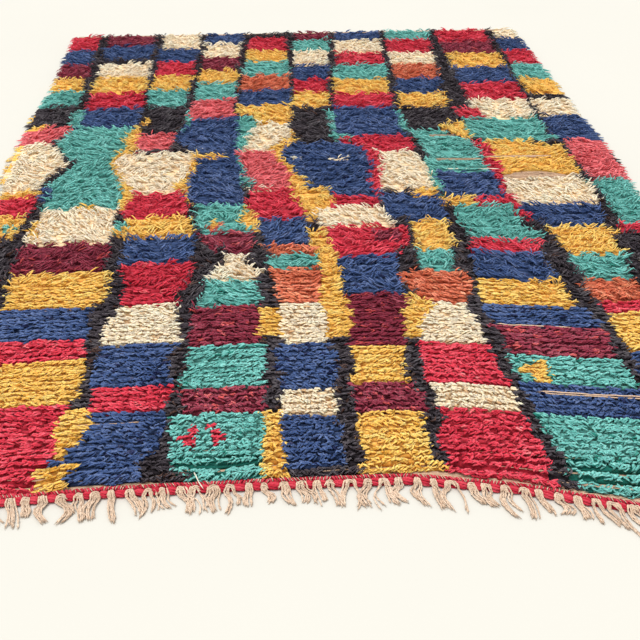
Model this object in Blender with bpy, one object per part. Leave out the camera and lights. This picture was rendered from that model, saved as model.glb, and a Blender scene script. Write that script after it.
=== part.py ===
"""A hand knotted shag rug of the High Atlas kind, laid flat on a floor.

The cloth and its pile are one solid: the rows of knots show as ribs across it, locks of wool stand out
along both sides, and a thin flat woven web runs on past the pile at both ends. A twined border in two
rows closes the near web, and the warp ends leave it in bunches, as a fringe that lies on the floor.

Metres, +Z up. The rug lies on z = 0, its width along X and its length along Y, with the fringed end
at -Y. The origin is the middle of the whole rug's box, on the floor.
"""
import bmesh
import bpy
import numpy as np

# The whole rug
WIDTH = 1.50                # from lock tip to lock tip
LENGTH = 2.40               # from the longest warp end to the edge of the far web
SEAT_GAP = 0.0003           # between pieces that touch

# The cloth
WEB_THICK = 0.0025
WEB_NEAR = 0.0035           # bare web between the pile and the border
WEB_FAR = 0.030             # bare web past the pile at the far end

# The pile
PILE_HEIGHT = 0.020         # top of a row as its wool lies
LUMP_NEAR, LUMP_FAR = 0.0015, 0.0040    # how far a row wanders up and down: the far pile is shaggier
ROW_PITCH = 0.0135
ROW_GROOVE = 0.0050         # depth of the furrow between two rows
CELLS_ACROSS = 9
LOCK_REACH = 0.026          # how far the longest lock stands out past the cloth
LOCK_SHORTEST = 0.30        # the shortest lock as a share of that
LOCK_LEAN = 0.004
LOCK_LOW, LOCK_HIGH = 0.004, 0.012
FURROW_REACH = 0.003
FURROW_HEIGHT = 0.007
RIM_INSET = 0.030           # from the cloth's side to where the pile has its full height

# The near end swings out towards -Y on the right, and a little on the left
BOW_RIGHT, BOW_RIGHT_FROM, BOW_RIGHT_TO = 0.075, 0.03, 0.60
BOW_LEFT, BOW_LEFT_FROM, BOW_LEFT_TO = 0.010, -0.15, -0.70
# Its very edge flares out farther still, past the first rows
FLARE_RIGHT, FLARE_RIGHT_FROM, FLARE_RIGHT_TO = 0.040, 0.08, 0.55
FLARE_LEFT, FLARE_LEFT_FROM, FLARE_LEFT_TO = 0.012, -0.38, -0.70
FLARE_DEPTH = 0.040         # how far in from the edge the flare has died away
SIDE_WANDER = 0.006         # how far the cloth's sides wander
SIDE_WAVES = 1.3
UNDERSIDE_CLEAR = 0.08      # the straight lines under the cloth start this far in from its near edge

# The border, two rows of thick yarn twined over the warp
BORDER_WIDTH = 0.022
BORDER_FOOT = 0.003
UPPER_ROW, UPPER_HIGH, UPPER_LOW = 0.0045, 0.0068, 0.0056
VALLEY, VALLEY_HEIGHT = 0.0090, 0.0042
LOWER_ROW, BEAD_HEIGHT, PINCH_HEIGHT = 0.0150, 0.0085, 0.0055
PINCH = 0.004               # how far the lower row draws in where a bunch leaves it

# The fringe
BUNCHES = 58
STRANDS = 4                 # in each bunch
STRIP = 0.004
STRAND_WIDTH = 0.0032
STRAND_HEIGHT = 0.0030
STRAND_SPACING = 0.0042
STRAND_SHORTEST, STRAND_LONG, STRAND_LONGEST = 0.030, 0.052, 0.055
LONGEST_STRAND = (BUNCHES - 1) * STRANDS + 1    # at the right corner, where the web reaches farthest
STRAND_SPREAD = 0.0020      # how far the outer strands of a bunch fan out
STRAND_WANDER = 0.0014
STRAND_SHARES = (0.35, 0.75)    # where a strand's rings stand between its root and its tip
STRAND_TAPER = 0.25
STRAND_CURVE = 1.5          # 1 is a straight strand, and more bends it towards its tip

# Soft swells, where the cloth doesn't lie quite flat under its pile
SWELLS = (
    # x,     y,    half width, half length, rise
    (0.52, 0.08, 0.20, 0.050, 0.0060),
    (-0.20, 0.45, 0.34, 0.060, 0.0035),
    (0.30, -0.39, 0.30, 0.070, 0.0030),
    (-0.42, -0.67, 0.26, 0.060, 0.0025),
    (0.10, 0.89, 0.45, 0.080, 0.0040),
)

# Colours
INDIGO = (0.050, 0.110, 0.270)
RED = (0.480, 0.045, 0.060)
UNDYED = (0.640, 0.520, 0.400)
WOOL_ROUGHNESS = 0.92

HALF_WIDTH = WIDTH / 2
CLOTH_HALF = HALF_WIDTH - LOCK_REACH - SIDE_WANDER
NEAREST_EDGE = -LENGTH / 2 + STRAND_LONGEST + STRIP + SEAT_GAP + BORDER_WIDTH + SEAT_GAP
EDGE_NEAR = NEAREST_EDGE + BOW_RIGHT + FLARE_RIGHT
WEB_INNER = np.linspace(-CLOTH_HALF + RIM_INSET, CLOTH_HALF - RIM_INSET, CELLS_ACROSS + 1)
WEB_PLACES = np.concatenate(([-CLOTH_HALF], WEB_INNER, [CLOTH_HALF]))
PILE_NEAR = EDGE_NEAR + WEB_NEAR
PILE_FAR = LENGTH / 2 - WEB_FAR
ROWS = round((PILE_FAR - PILE_NEAR) / ROW_PITCH)

rng = np.random.default_rng(41)


def smooth(low, high, value):
    """Rises from 0 at low to 1 at high, level at both."""
    share = np.clip((value - low) / (high - low), 0.0, 1.0)
    return share * share * (3.0 - 2.0 * share)


def bow(x):
    """How far the near end lies out towards -Y at x."""
    right = BOW_RIGHT * smooth(BOW_RIGHT_FROM, BOW_RIGHT_TO, x)
    left = BOW_LEFT * smooth(BOW_LEFT_FROM, BOW_LEFT_TO, x)
    return right + left


def flare(x):
    """How much farther the very edge of the near end lies out at x."""
    right = FLARE_RIGHT * smooth(FLARE_RIGHT_FROM, FLARE_RIGHT_TO, x)
    left = FLARE_LEFT * smooth(FLARE_LEFT_FROM, FLARE_LEFT_TO, x)
    return right + left


def row_y(level, x):
    """A row's Y at x. The bow of the near end fades out along the rug, and its flare over a few rows."""
    share = np.clip((level - PILE_NEAR) / (PILE_FAR - PILE_NEAR), 0.0, 1.0)
    return level - bow(x) * (1.0 - share) - flare(x) * (1.0 - smooth(0.0, FLARE_DEPTH, level - PILE_NEAR))


def near_edge(x):
    """The Y of the web's near edge at x, straight between the web's points."""
    return EDGE_NEAR - np.interp(x, WEB_PLACES, bow(WEB_PLACES) + flare(WEB_PLACES))


def side_wander(y):
    """How far the cloth's sides lie off their straight line at y."""
    return SIDE_WANDER * np.sin(2 * np.pi * SIDE_WAVES * y / LENGTH)


def swell(x, y):
    """How far the cloth lies above the floor at a place."""
    rise = 0.0
    for centre_x, centre_y, half_width, half_length, height in SWELLS:
        off = ((x - centre_x) / half_width) ** 2 + ((y - centre_y) / half_length) ** 2
        rise = rise + height * np.exp(-off)
    return rise


def finish(name, points, faces, colour):
    """Makes one closed, outward facing object with its own material."""
    mesh = bpy.data.meshes.new(name)
    mesh.from_pydata([tuple(map(float, point)) for point in points], [], faces)
    shape = bmesh.new()
    shape.from_mesh(mesh)
    bmesh.ops.recalc_face_normals(shape, faces=shape.faces)
    shape.to_mesh(mesh)
    shape.free()
    mesh.shade_smooth()
    material = bpy.data.materials.new(name)
    material.use_nodes = True
    shader = material.node_tree.nodes["Principled BSDF"]
    shader.inputs["Base Color"].default_value = (*colour, 1.0)
    shader.inputs["Roughness"].default_value = WOOL_ROUGHNESS
    shader.inputs["Metallic"].default_value = 0.0
    mesh.materials.append(material)
    thing = bpy.data.objects.new(name, mesh)
    bpy.context.collection.objects.link(thing)
    return thing


def web_station(level):
    """One line of points across the flat woven web, from floor to floor."""
    line = [(-CLOTH_HALF, row_y(level, -CLOTH_HALF), 0.0)]
    line += [(x, row_y(level, x), WEB_THICK) for x in WEB_PLACES]
    line.append((CLOTH_HALF, row_y(level, CLOTH_HALF), 0.0))
    return line


def lock_tips():
    """For one side, how far from the rug's middle, how far along and how high each row's lock ends."""
    reach = rng.uniform(LOCK_SHORTEST, 1.0, ROWS)
    reach = LOCK_REACH * reach / reach.max()
    out = HALF_WIDTH - LOCK_REACH + reach
    return out, rng.uniform(-LOCK_LEAN, LOCK_LEAN, ROWS), rng.uniform(LOCK_LOW, LOCK_HIGH, ROWS)


def pile_station(level, drop, ends=None):
    """One line of points across the pile, along a row's top or, where it has no locks, a furrow."""
    wander = side_wander(level)
    sides = (-CLOTH_HALF + wander, CLOTH_HALF + wander)
    inner = np.linspace(sides[0] + RIM_INSET, sides[1] - RIM_INSET, CELLS_ACROSS + 1)
    lump = np.interp(level, (PILE_NEAR, PILE_FAR), (LUMP_NEAR, LUMP_FAR))
    lump = lump * rng.uniform(-1.0, 1.0, inner.size)
    if ends is None:
        ends = [(abs(side) + FURROW_REACH, 0.0, FURROW_HEIGHT) for side in sides]
    rim = []
    for side, outward, (out, lean, height) in zip(sides, (-1, 1), ends):
        rim.append((outward * out, row_y(level, side) + lean, height))
    line = [(sides[0], row_y(level, sides[0]), 0.0), rim[0]]
    for x, rise in zip(inner, lump):
        y = row_y(level, x)
        line.append((x, y, PILE_HEIGHT - drop + rise + swell(x, y)))
    line += [rim[1], (sides[1], row_y(level, sides[1]), 0.0)]
    return line


def underside(lines, size, points):
    """Adds the faces of the near end and of the flat underside.

    The near edge is curved, so its own points run across the floor. They meet the first line that
    lies clear of the curve, and from there each line crosses the floor straight from side to side.
    """
    first = next(number for number, line in enumerate(lines) if line[0][1] > EDGE_NEAR + UNDERSIDE_CLEAR)
    left = [number * size for number in range(len(lines))]
    right = [number * size + size - 1 for number in range(len(lines))]
    near = [left[0]] + list(range(len(points), len(points) + WEB_INNER.size)) + [right[0]]
    points += [(x, near_edge(x), 0.0) for x in WEB_INNER]
    far = [left[first]] + list(range(len(points), len(points) + WEB_INNER.size)) + [right[first]]
    ends = np.array([points[left[first]], points[right[first]]])
    for x in WEB_INNER:
        points.append((x, np.interp(x, ends[:, 0], ends[:, 1]), 0.0))
    faces = []
    for cell in range(len(near) - 1):
        faces.append((near[cell], near[cell + 1], cell + 2, cell + 1))
        loop = [near[cell], near[cell + 1]]
        if cell == len(near) - 2:
            loop += right[1:first]
        loop += [far[cell + 1], far[cell]]
        if cell == 0:
            loop += left[first - 1:0:-1]
        faces.append(tuple(loop))
    faces.append(tuple(far) + (right[first + 1], left[first + 1]))
    for number in range(first + 1, len(lines) - 1):
        faces.append((left[number], right[number], right[number + 1], left[number + 1]))
    return faces


def make_field():
    """The cloth and its pile, as rows of ribs with a lock at each end."""
    pitch = (PILE_FAR - PILE_NEAR) / ROWS
    left, right = lock_tips(), lock_tips()
    lines = [web_station(EDGE_NEAR), web_station(PILE_NEAR)]
    for row in range(ROWS):
        top = PILE_NEAR + (row + 0.5) * pitch
        lines.append(pile_station(top, 0.0, [[values[row] for values in side] for side in (left, right)]))
        if row < ROWS - 1:
            lines.append(pile_station(top + pitch / 2, ROW_GROOVE))
    lines += [web_station(PILE_FAR), web_station(LENGTH / 2)]
    size = len(lines[0])
    points = [point for line in lines for point in line]
    faces = []
    for start in range(0, (len(lines) - 1) * size, size):
        for step in range(size - 1):
            faces.append((start + step, start + step + 1, start + size + step + 1, start + size + step))
    faces.append(tuple(range((len(lines) - 1) * size, len(lines) * size)))
    faces += underside(lines, size, points)
    return finish("rug_field", points, faces, INDIGO)


def border_places():
    """Where the beads and the pinches between them stand in turn. Each bend of the web's edge has one."""
    places = np.linspace(-CLOTH_HALF, CLOTH_HALF, 2 * BUNCHES + 1)
    places[np.abs(places[:, None] - WEB_INNER).argmin(axis=0)] = WEB_INNER
    return places


def make_border():
    """The twined border: an upper row, and a lower row of beads between the bunches of fringe."""
    places = border_places()
    points = []
    for step, x in enumerate(places):
        pinched = step % 2
        back = near_edge(x) - SEAT_GAP
        front = BORDER_WIDTH - PINCH * pinched
        profile = (
            (0.0, 0.0),
            (0.0, BORDER_FOOT),
            (UPPER_ROW, UPPER_LOW if pinched else UPPER_HIGH),
            (VALLEY, VALLEY_HEIGHT),
            (LOWER_ROW - PINCH * pinched / 2, PINCH_HEIGHT if pinched else BEAD_HEIGHT),
            (front, BORDER_FOOT),
            (front, 0.0),
        )
        points += [(x, back - out, height) for out, height in profile]
    size = len(profile)
    faces = [tuple(range(size)), tuple(range(len(points) - size, len(points)))]
    for start in range(0, (len(places) - 1) * size, size):
        for step in range(size):
            after = (step + 1) % size
            faces.append((start + step, start + after, start + size + after, start + size + step))
    return finish("twined_border_near", points, faces, RED)


def strand_rings(root, reach, sideways, points):
    """Adds one strand's points: a root on the strip, its rings, and its tip. Returns their numbers."""
    x, y = root
    rings = []
    for share in (0.0,) + STRAND_SHARES:
        size = 1.0 - STRAND_TAPER * share
        half = STRAND_WIDTH / 2 * size
        middle = x + sideways * share ** STRAND_CURVE
        height = STRAND_HEIGHT * size
        along = y - reach * share
        first = len(points)
        points += [(middle - half, along, 0.0), (middle + half, along, 0.0), (middle, along, height)]
        rings.append((first, first + 1, first + 2))
    points.append((x + sideways, y - reach, 0.0))
    return rings, len(points) - 1


def make_fringe():
    """The fringe: a narrow strip along the border, and strands that leave it in bunches."""
    points, faces, roots = [], [], []
    pitch = 2 * CLOTH_HALF / BUNCHES
    for bunch in range(BUNCHES):
        centre = -CLOTH_HALF + (bunch + 0.5) * pitch
        for strand in range(STRANDS):
            place = strand - (STRANDS - 1) / 2
            x = centre + place * STRAND_SPACING
            y = near_edge(x) - 2 * SEAT_GAP - BORDER_WIDTH - STRIP
            reach = rng.uniform(STRAND_SHORTEST, STRAND_LONG)
            if len(roots) == LONGEST_STRAND:
                reach = STRAND_LONGEST
            sideways = place * STRAND_SPREAD + rng.uniform(-STRAND_WANDER, STRAND_WANDER)
            rings, tip = strand_rings((x, y), reach, sideways, points)
            roots.append(rings[0])
            for near, far in zip(rings, rings[1:]):
                for one, two in ((0, 1), (1, 2), (2, 0)):
                    faces.append((near[one], near[two], far[two], far[one]))
            for one, two in ((0, 1), (1, 2), (2, 0)):
                faces.append((rings[-1][one], rings[-1][two], tip))
    backs = []
    for x in border_places()[::2]:
        y = near_edge(x) - 2 * SEAT_GAP - BORDER_WIDTH
        backs.append((len(points), len(points) + 1))
        points += [(x, y, 0.0), (x, y, STRAND_HEIGHT)]
    for left, right in zip(roots, roots[1:]):
        faces.append((left[1], right[0], right[2], left[2]))
    for bunch in range(BUNCHES):
        low_here, high_here = backs[bunch]
        low_next, high_next = backs[bunch + 1]
        own = roots[bunch * STRANDS:(bunch + 1) * STRANDS]
        faces.append((low_here, low_next, high_next, high_here))
        faces.append((high_here, high_next) + tuple(root[2] for root in reversed(own)))
        low_own = [point for root in reversed(own) for point in (root[1], root[0])]
        faces.append((low_here, low_next, *low_own))
        if bunch < BUNCHES - 1:
            following = roots[(bunch + 1) * STRANDS]
            faces.append((high_next, own[-1][2], following[2]))
            faces.append((low_next, own[-1][1], following[0]))
    faces.append((backs[0][0], backs[0][1], roots[0][2], roots[0][0]))
    faces.append((backs[-1][0], backs[-1][1], roots[-1][2], roots[-1][1]))
    return finish("fringe_near", points, faces, UNDYED)


def main():
    for thing in list(bpy.data.objects):
        bpy.data.objects.remove(thing, do_unlink=True)
    make_field()
    make_border()
    make_fringe()


main()
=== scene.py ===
"""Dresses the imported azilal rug: its woven web, its pile in eight wools, its twined border and its fringe.

Metres, +Z up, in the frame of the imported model: the rug lies on z = 0, its width along X and its length
along Y, with the fringed end at -Y.
"""

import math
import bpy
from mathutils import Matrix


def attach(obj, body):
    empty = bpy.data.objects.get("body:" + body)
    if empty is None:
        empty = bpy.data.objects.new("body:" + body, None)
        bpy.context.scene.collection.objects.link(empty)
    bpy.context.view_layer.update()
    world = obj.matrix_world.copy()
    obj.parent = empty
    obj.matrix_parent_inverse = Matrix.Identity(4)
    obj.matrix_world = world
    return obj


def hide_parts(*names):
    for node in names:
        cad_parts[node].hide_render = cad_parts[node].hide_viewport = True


bl_info = {
    "name": "Azilal rug",
    "version": (1, 0, 0),
    "blender": (4, 5, 0),
    "location": "3D View > Sidebar > Rug",
    "description": "Knots the pile of a shag rug over its web, with its border and fringe",
    "category": "Object",
}

import bmesh
import bpy
import numpy as np
from bpy.props import FloatProperty, FloatVectorProperty, IntProperty, PointerProperty
from mathutils import Vector

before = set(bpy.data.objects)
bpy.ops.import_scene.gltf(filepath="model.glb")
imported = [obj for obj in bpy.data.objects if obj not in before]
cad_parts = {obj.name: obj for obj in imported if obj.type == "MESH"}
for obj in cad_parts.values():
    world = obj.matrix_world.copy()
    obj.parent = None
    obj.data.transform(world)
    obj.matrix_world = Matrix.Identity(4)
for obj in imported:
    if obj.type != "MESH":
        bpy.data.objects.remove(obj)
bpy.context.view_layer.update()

# The solids' own measures, which the pile and the border follow
WIDTH, LENGTH = 1.50, 2.40
SEAT_GAP = 0.0003
WEB_THICK = 0.0025
LOCK_REACH = 0.026
SIDE_WANDER, SIDE_WAVES = 0.006, 1.3
CLOTH_HALF = WIDTH / 2 - LOCK_REACH - SIDE_WANDER
RIM_INSET = 0.030
WEB_NEAR, WEB_FAR = 0.0035, 0.030
BOW_RIGHT, BOW_RIGHT_FROM, BOW_RIGHT_TO = 0.075, 0.03, 0.60
BOW_LEFT, BOW_LEFT_FROM, BOW_LEFT_TO = 0.010, -0.15, -0.70
FLARE_RIGHT, FLARE_RIGHT_FROM, FLARE_RIGHT_TO = 0.040, 0.08, 0.55
FLARE_LEFT, FLARE_LEFT_FROM, FLARE_LEFT_TO = 0.012, -0.38, -0.70
FLARE_DEPTH = 0.040
BORDER_WIDTH = 0.022
STRIP = 0.004
LONGEST_END = 0.055
EDGE_NEAR = -LENGTH / 2 + LONGEST_END + STRIP + SEAT_GAP + BORDER_WIDTH + SEAT_GAP + BOW_RIGHT + FLARE_RIGHT
PILE_NEAR = EDGE_NEAR + WEB_NEAR
PILE_FAR = LENGTH / 2 - WEB_FAR
ROWS = 161
ROW_PITCH = (PILE_FAR - PILE_NEAR) / ROWS
WEB_PLACES = np.concatenate(
    ([-CLOTH_HALF], np.linspace(-CLOTH_HALF + RIM_INSET, CLOTH_HALF - RIM_INSET, 10), [CLOTH_HALF])
)
BUNCHES = 58
SWELLS = (
    # x,     y,    half width, half length, rise
    (0.52, 0.08, 0.20, 0.050, 0.0060),
    (-0.20, 0.45, 0.34, 0.060, 0.0035),
    (0.30, -0.39, 0.30, 0.070, 0.0030),
    (-0.42, -0.67, 0.26, 0.060, 0.0025),
    (0.10, 0.89, 0.45, 0.080, 0.0040),
)

# The pattern, charted. Each column of blocks has its two sides in centimetres at a few rows, and
# the row that each of its blocks begins at, from the near end. A star is the wool's second, faded dye.
COLUMNS = (
    (
        ((0, -77, -63.6), (40, -77, -65.5), (55, -77, -66.2), (66, -77, -63.9), (76, -77, -63.9),
         (84, -77, -60.5), (90, -77, -62.8), (94, -77, -65.9), (99, -77, -61.2), (104, -77, -62.0),
         (110, -77, -63.0), (163, -77, -64.0)),
        "teal 0, yellow 9, blue 17, cream 26, black 33, red 41, black 45, yellow 57, red 65, yellow 72, "
        "cream 74, red* 95, black 103, teal 114, yellow 123, maroon 131, blue 140, red 150",
    ),
    (
        ((0, -61.5, -47.1), (2, -61.5, -47.2), (3, -61.5, -46.2), (4, -61.5, -45.4), (6, -61.5, -45.8),
         (9, -61.5, -46.6), (13, -61.5, -45.5), (15, -61.5, -44.0),
         (22, -61.5, -44.6), (28, -62.0, -45.1), (36, -62.0, -45.0), (38, -62.0, -42.9), (44, -62.6, -43.3),
         (46, -63.3, -44.8), (55, -63.0, -44.8), (67, -61.6, -45.1), (72, -61.2, -44.8), (77, -62.4, -46.5),
         (81, -60.0, -48.6), (85, -57.5, -49.9), (89, -61.6, -47.4), (94, -64.4, -47.0), (98, -63.0, -46.6),
         (102, -60.3, -45.2), (110, -60.3, -44.8), (163, -61.0, -46.0)),
        "red 0, yellow 14, red 23, blue 28, yellow 36, maroon 46, cream 55, teal 67, blue 102, red 112, "
        "yellow 121, cream 131, black 140, blue 143, maroon 153",
    ),
    (
        ((0, -43.4, -32.0), (1, -43.1, -32.0), (2, -42.3, -32.0), (3, -46.0, -32.0), (4, -44.4, -31.0),
         (5, -43.3, -29.6), (8, -41.4, -29.4), (12, -41.2, -29.6),
         (14, -41.2, -28.7), (18, -42.3, -29.0), (22, -42.4, -30.0), (25, -42.3, -28.6), (30, -41.6, -28.4),
         (35, -40.1, -29.4), (38, -40.0, -30.2), (42, -40.0, -27.4), (48, -41.6, -27.4), (56, -41.8, -27.8),
         (60, -42.3, -28.7), (65, -43.4, -29.8), (70, -42.6, -30.8), (73, -42.6, -32.3), (76, -44.4, -31.6),
         (80, -46.6, -30.1), (85, -48.2, -29.4), (88, -46.6, -28.7), (90, -44.0, -35.1), (98, -44.0, -34.8),
         (100, -44.0, -33.2), (110, -43.8, -33.2), (163, -43.0, -31.0)),
        "blue 0, red 12, blue 17, cream 26, red 36, blue 48, yellow 56, red 63, cream 72, black 89, red* 90, "
        "black 98, teal 112, yellow 122, red 131, blue 140, cream 150",
    ),
    (
        ((0, -25.5, -14.4), (3, -28.3, -14.1), (10, -28.3, -14.1), (11, -26.9, -13.4), (18, -27.6, -13.4),
         (24, -26.6, -13.7), (26, -26.2, -14.4), (34, -26.2, -14.4), (36, -25.9, -12.8), (41, -24.4, -14.4),
         (44, -23.2, -14.6), (46, -21.8, -15.9), (50, -22.4, -15.9), (52, -25.7, -15.1), (57, -26.0, -15.4),
         (59, -27.6, -17.3), (67, -28.4, -17.3), (70, -29.8, -16.9), (76, -29.8, -18.0), (82, -28.7, -18.7),
         (87, -28.0, -19.4), (90, -30.5, -18.9), (93, -33.7, -18.9), (98, -34.0, -18.6), (102, -31.4, -19.4),
         (109, -31.4, -20.4), (163, -29.0, -17.5)),
        "teal 0, maroon 11, teal 16, maroon 25, teal 35, cream 42, maroon 50, teal 57, blue 67, red* 105, "
        "teal 116, yellow 126, maroon 134, cream 143, blue 153",
    ),
    (
        ((0, -10.7, -1.6), (10, -10.7, -1.7), (15, -10.5, -1.9), (17, -10.6, -1.1), (22, -11.7, -0.9),
         (25, -10.6, -2.3), (35, -10.1, -2.4), (43, -11.6, -1.9), (49, -11.9, -2.4), (51, -13.4, -3.4),
         (55, -13.4, -3.8), (58, -14.4, -4.4), (63, -15.1, -3.8), (68, -15.9, -5.9), (71, -15.9, -6.2),
         (75, -15.1, -6.6), (80, -17.1, -7.0), (85, -18.3, -9.8), (88, -18.6, -11.4), (90, -16.6, -10.6),
         (94, -16.2, -5.4), (101, -14.2, -5.6), (104, -14.4, -4.3), (107, -19.6, -4.3), (112, -19.0, -4.3),
         (163, -15.0, -4.0)),
        "black 0, blue 1, cream 10, blue 15, cream 25, coral 35, teal 45, coral 49, blue 52, red 61, "
        "red* 72, cream 89, yellow 102, blue 112, coral 121, teal 130, yellow 139, red 147, black 157",
    ),
    (
        ((0, 0.1, 12.2), (1, 1.3, 11.8), (2, 1.3, 11.3), (6, 1.1, 10.9), (8, 1.1, 11.9), (10, 0.8, 12.7),
         (11, 0.6, 12.7), (15, 0.8, 11.0), (17, 1.4, 10.4), (24, 1.4, 10.9), (27, 2.0, 12.0),
         (31, 2.8, 12.5), (34, 2.4, 13.8), (37, 1.8, 14.2), (39, 1.9, 12.6), (46, 2.1, 13.7),
         (49, 1.2, 15.0), (55, 0.2, 17.6), (57, -0.5, 17.2), (59, -1.0, 13.9), (63, -1.2, 13.9),
         (66, 3.2, 13.4), (69, 3.2, 13.2), (72, -2.6, 12.1), (76, -3.6, 11.8), (80, -5.1, 13.2),
         (85, -8.4, 13.2), (88, -7.6, 11.8),
         (91, -5.4, 9.0), (93, -4.1, 5.4), (107, -4.1, 5.3), (163, -1.0, 11.0)),
        "yellow 0, maroon 10, yellow 16, maroon 24, blue 37, red 48, cream 58, red 65, blue 69, black 92, "
        "yellow 110, red 119, blue 127, cream 136, teal 146, maroon 155",
    ),
    (
        ((0, 13.8, 28.6), (2, 13.6, 28.4), (6, 13.2, 28.1), (9, 14.5, 27.6), (13, 14.8, 27.1),
         (17, 13.4, 27.1), (24, 14.0, 26.2), (28, 15.6, 25.8), (31, 16.8, 25.2), (33, 18.2, 24.8),
         (34, 18.6, 24.8), (36, 16.0, 25.7),
         (41, 13.9, 26.8), (44, 17.6, 25.0), (49, 18.0, 25.7), (52, 18.9, 26.6), (59, 18.6, 26.6),
         (61, 14.5, 27.2), (68, 13.8, 27.2), (71, 14.6, 27.0), (77, 14.8, 27.0), (82, 16.6, 26.8),
         (87, 15.4, 25.2), (90, 10.6, 25.8), (94, 10.2, 25.0), (96, 6.8, 23.8), (107, 6.8, 23.2),
         (163, 13.0, 27.0)),
        "red 0, cream 11, red 16, cream 25, coral 35, teal 44, yellow 50, blue 60, black 70, cream 71, "
        "red 88, blue 95, red 110, yellow 118, teal 127, red 136, cream 144, blue 154",
    ),
    (
        ((0, 32.0, 47.0), (3, 31.0, 47.2), (7, 29.8, 47.6), (12, 29.6, 48.2), (16, 28.6, 48.4),
         (20, 28.9, 47.6), (26, 28.9, 47.4), (31, 28.2, 47.8), (35, 27.8, 45.8), (41, 28.7, 44.2),
         (46, 28.9, 42.9), (52, 30.0, 43.9), (56, 30.7, 45.2), (60, 29.0, 42.9), (65, 30.0, 42.0),
         (67, 26.9, 42.6), (69, 28.6, 42.0), (78, 28.6, 41.4), (82, 28.0, 40.8), (88, 27.9, 41.0),
         (93, 26.8, 40.0), (96, 25.6, 37.5), (103, 25.4, 38.5), (107, 25.4, 38.0), (163, 29.0, 43.5)),
        "teal 0, blue 11, teal 17, maroon 23, blue 30, yellow 35, blue 42, red 50, teal 54, red 66, blue 69, "
        "teal 79, black 95, yellow 110, blue 118, coral 127, cream 136, red 144, teal 154",
    ),
    (
        ((0, 51.0, 63.5), (25, 50.0, 63.0), (37, 49.4, 60.0), (40, 48.6, 59.6), (45, 48.9, 59.6),
         (48, 49.2, 61.2), (52, 48.9, 59.8), (56, 47.9, 61.8), (59, 48.2, 60.0), (61, 46.0, 61.0),
         (64, 44.2, 62.0), (68, 44.0, 62.6), (72, 43.4, 63.0), (77, 44.0, 61.8), (80, 44.3, 62.4),
         (85, 43.8, 62.3), (90, 43.8, 62.3), (93, 42.0, 62.3), (95, 40.8, 60.6), (102, 40.8, 60.6),
         (105, 44.0, 60.6), (110, 45.0, 61.0), (163, 45.5, 62.5)),
        "red 0, cream 8, blue 16, yellow 25, red 34, coral 37, teal 43, yellow 50, blue 59, cream 67, "
        "yellow 78, teal 93, cream 104, red 114, blue 124, yellow 134, maroon 143, red 152",
    ),
    (
        ((0, 65.6, 77), (50, 63.5, 77), (57, 62.5, 77), (62, 64.6, 77), (72, 64.2, 77), (78, 63.4, 77),
         (92, 63.4, 77), (94, 61.7, 77), (105, 61.8, 77), (163, 65.0, 77)),
        "blue 0, yellow 8, maroon 17, teal 25, red 34, cream 42, black 50, red 57, teal 60, red* 76, "
        "blue 93, cream 105, black 114, yellow 117, teal 126, red 136, blue 145, cream 154",
    ),
)
# The wandering lines between the columns are black, but for these rows
LINES = (
    "blue 70-75",
    "yellow 0-13, yellow 57-60, yellow 65-104",
    "yellow 67-89, teal 98-109",
    "yellow 0-11, yellow 27-34, yellow 57-66, teal 74-105",
    "yellow 26-57, yellow 60-99",
    "yellow 26-37, red 70-92, teal 93-108",
    "teal 70-84, teal 98-108",
    "red 61-93, yellow 94-101",
    "",
)
SIDE_JUMP, SIDE_SWING = 0.0032, 0.0030      # how far a column's side strays by chance, and in slow waves
SIDE_SWING_ROWS = 4.0       # the rows that one slow wave takes, more or less
NARROWEST = 0.006           # a run of one wool that is narrower than this is left out
RIM_KNOTS = 0.003           # how far past the cloth's side its outermost knots lie
# Where the pile bulges out over the cloth's sides: how far, and the rows where it begins and ends
BULGE_LEFT, BULGE_LEFT_FROM, BULGE_LEFT_TO = 0.020, (72, 82), (112, 125)
BULGE_RIGHT, BULGE_RIGHT_FROM, BULGE_RIGHT_TO = 0.011, (68, 80), (96, 106)
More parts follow.
